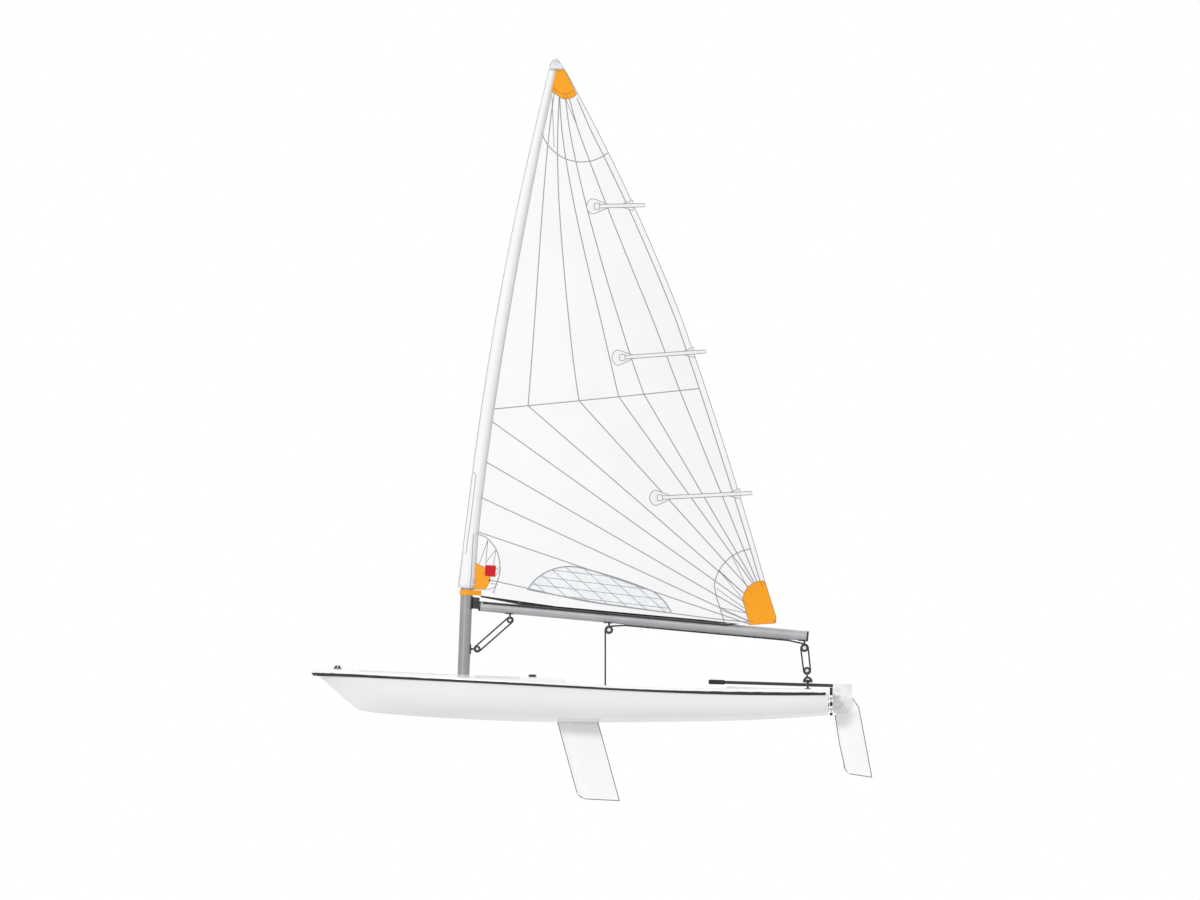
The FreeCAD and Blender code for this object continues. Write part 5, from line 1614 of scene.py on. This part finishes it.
def makeLipShadeStrip():
    s, points, rim = lipShadeStrip, [], gunwaleRim()
    angles = [math.radians(s["from"] + (s["to"] - s["from"]) * m / s["steps"]) for m in range(s["steps"] + 1)]
    for n, (x, y, z, r) in enumerate(rim):
        before, after = rim[max(n - 1, 0)], rim[min(n + 1, len(rim) - 1)]
        run = Vector((after[0] - before[0], after[1] - before[1])).normalized()
        outward = Vector((-run.y, run.x, 0))
        core = Vector((x, y, z)) - outward * r
        for radius, order in ((r - s["inset"], angles), (r + s["grow"], angles[::-1])):
            points += [core + outward * radius * math.cos(angle) + Vector((0, 0, radius * math.sin(angle)))
                       for angle in order]
    form = (points, joinRings(len(rim), 2 * len(angles)))
    # painted shade under the gunwale lip
    addPiece("lip_shade_strip", form, "stripRubber", "hull", "black_plastic", s["corner"])


makeLipShadeStrip()
print("lip shade strip made")

# stage, light and camera
floorSettings = {"size": 400.0, "colour": (0.82, 0.83, 0.84), "roughness": 0.9, "specular": 0.1}
lightSettings = {
    "sky": 0.79, "skyColour": (0.975, 0.985, 1.0),
    # what is seen beyond the floor, in the floor's own tone, and the slope at which it starts
    "ground": (0.85, 0.868, 0.888), "backdrop": (1.0, 1.0, 1.0), "horizon": (-0.03, -0.01),
    # direction that each lamp shines from, its strength and the softness of its shadows in degrees
    "lamps": {"keyLight": ((0.4, 1.0, 0.38), 1.15, 9.0), "fillLight": ((-0.5, -0.9, 0.9), 0.6, 14.0)},
}
viewSettings = {"scale": 9.72, "centreX": -0.231, "centreZ": 2.148, "distance": 60.0, "far": 1000.0}


def makeFloor():
    s = floorSettings
    material, tree, shader = startMaterial("paleFloor")
    feed(tree, shader, {"Base Color": s["colour"], "Roughness": s["roughness"],
                        "Specular IOR Level": s["specular"]})
    mesh = bpy.data.meshes.new("floor")
    corners = [(x * s["size"], y * s["size"], 0) for x, y in ((-1, -1), (1, -1), (1, 1), (-1, 1))]
    mesh.from_pydata(corners, [], [(0, 1, 2, 3)])
    mesh.materials.append(material)
    floor = bpy.data.objects.new("floor", mesh)
    scene.collection.objects.link(floor)
    # the foils and the hull's bottom are below the floor, so it neither shades nor lights them
    floor.visible_shadow = False
    floor.visible_diffuse = False
    floor.visible_glossy = False


def makeWorld():
    s = lightSettings
    world = bpy.data.worlds.new("studio")
    scene.world = world
    world.use_nodes = True
    tree = world.node_tree
    tree.nodes.clear()
    paths = addNode(tree, "LightPath").outputs
    seen = addMath(tree, "MAXIMUM", paths["Is Camera Ray"], paths["Is Transmission Ray"])
    seen = addMath(tree, "MAXIMUM", seen, paths["Is Glossy Ray"])
    direction = splitVector(tree, addNode(tree, "TexCoord").outputs["Generated"])
    below = addRange(tree, direction["Z"], *s["horizon"], 1.0, 0.0)
    lighting = addNode(tree, "Background", {"Color": s["skyColour"], "Strength": s["sky"]})
    backdrop = addNode(tree, "Background", {"Color": mixColours(tree, below, s["backdrop"], s["ground"]),
                                            "Strength": 1.0})
    mix = addNode(tree, "MixShader", {0: seen, 1: lighting.outputs[0], 2: backdrop.outputs[0]})
    addNode(tree, "OutputWorld", {"Surface": mix.outputs[0]})


def makeLights():
    for name, (direction, strength, soft) in lightSettings["lamps"].items():
        lamp = bpy.data.lights.new(name, "SUN")
        lamp.energy = strength
        lamp.angle = math.radians(soft)
        lampObject = bpy.data.objects.new(name, lamp)
        lampObject.rotation_mode = "QUATERNION"
        lampObject.rotation_quaternion = Vector(direction).to_track_quat("Z", "Y")
        scene.collection.objects.link(lampObject)


def makeCamera():
    s = viewSettings
    data = bpy.data.cameras.new("sideView")
    data.type = "ORTHO"
    data.ortho_scale = s["scale"]
    data.clip_end = s["far"]
    camera = bpy.data.objects.new("sideView", data)
    camera.location = (s["centreX"], s["distance"], s["centreZ"])
    camera.rotation_euler = (math.radians(90), 0, math.radians(180))
    scene.collection.objects.link(camera)
    scene.camera = camera


makeFloor()
makeWorld()
makeLights()
makeCamera()
scene.view_settings.view_transform = "Standard"
print("stage, light and camera made")
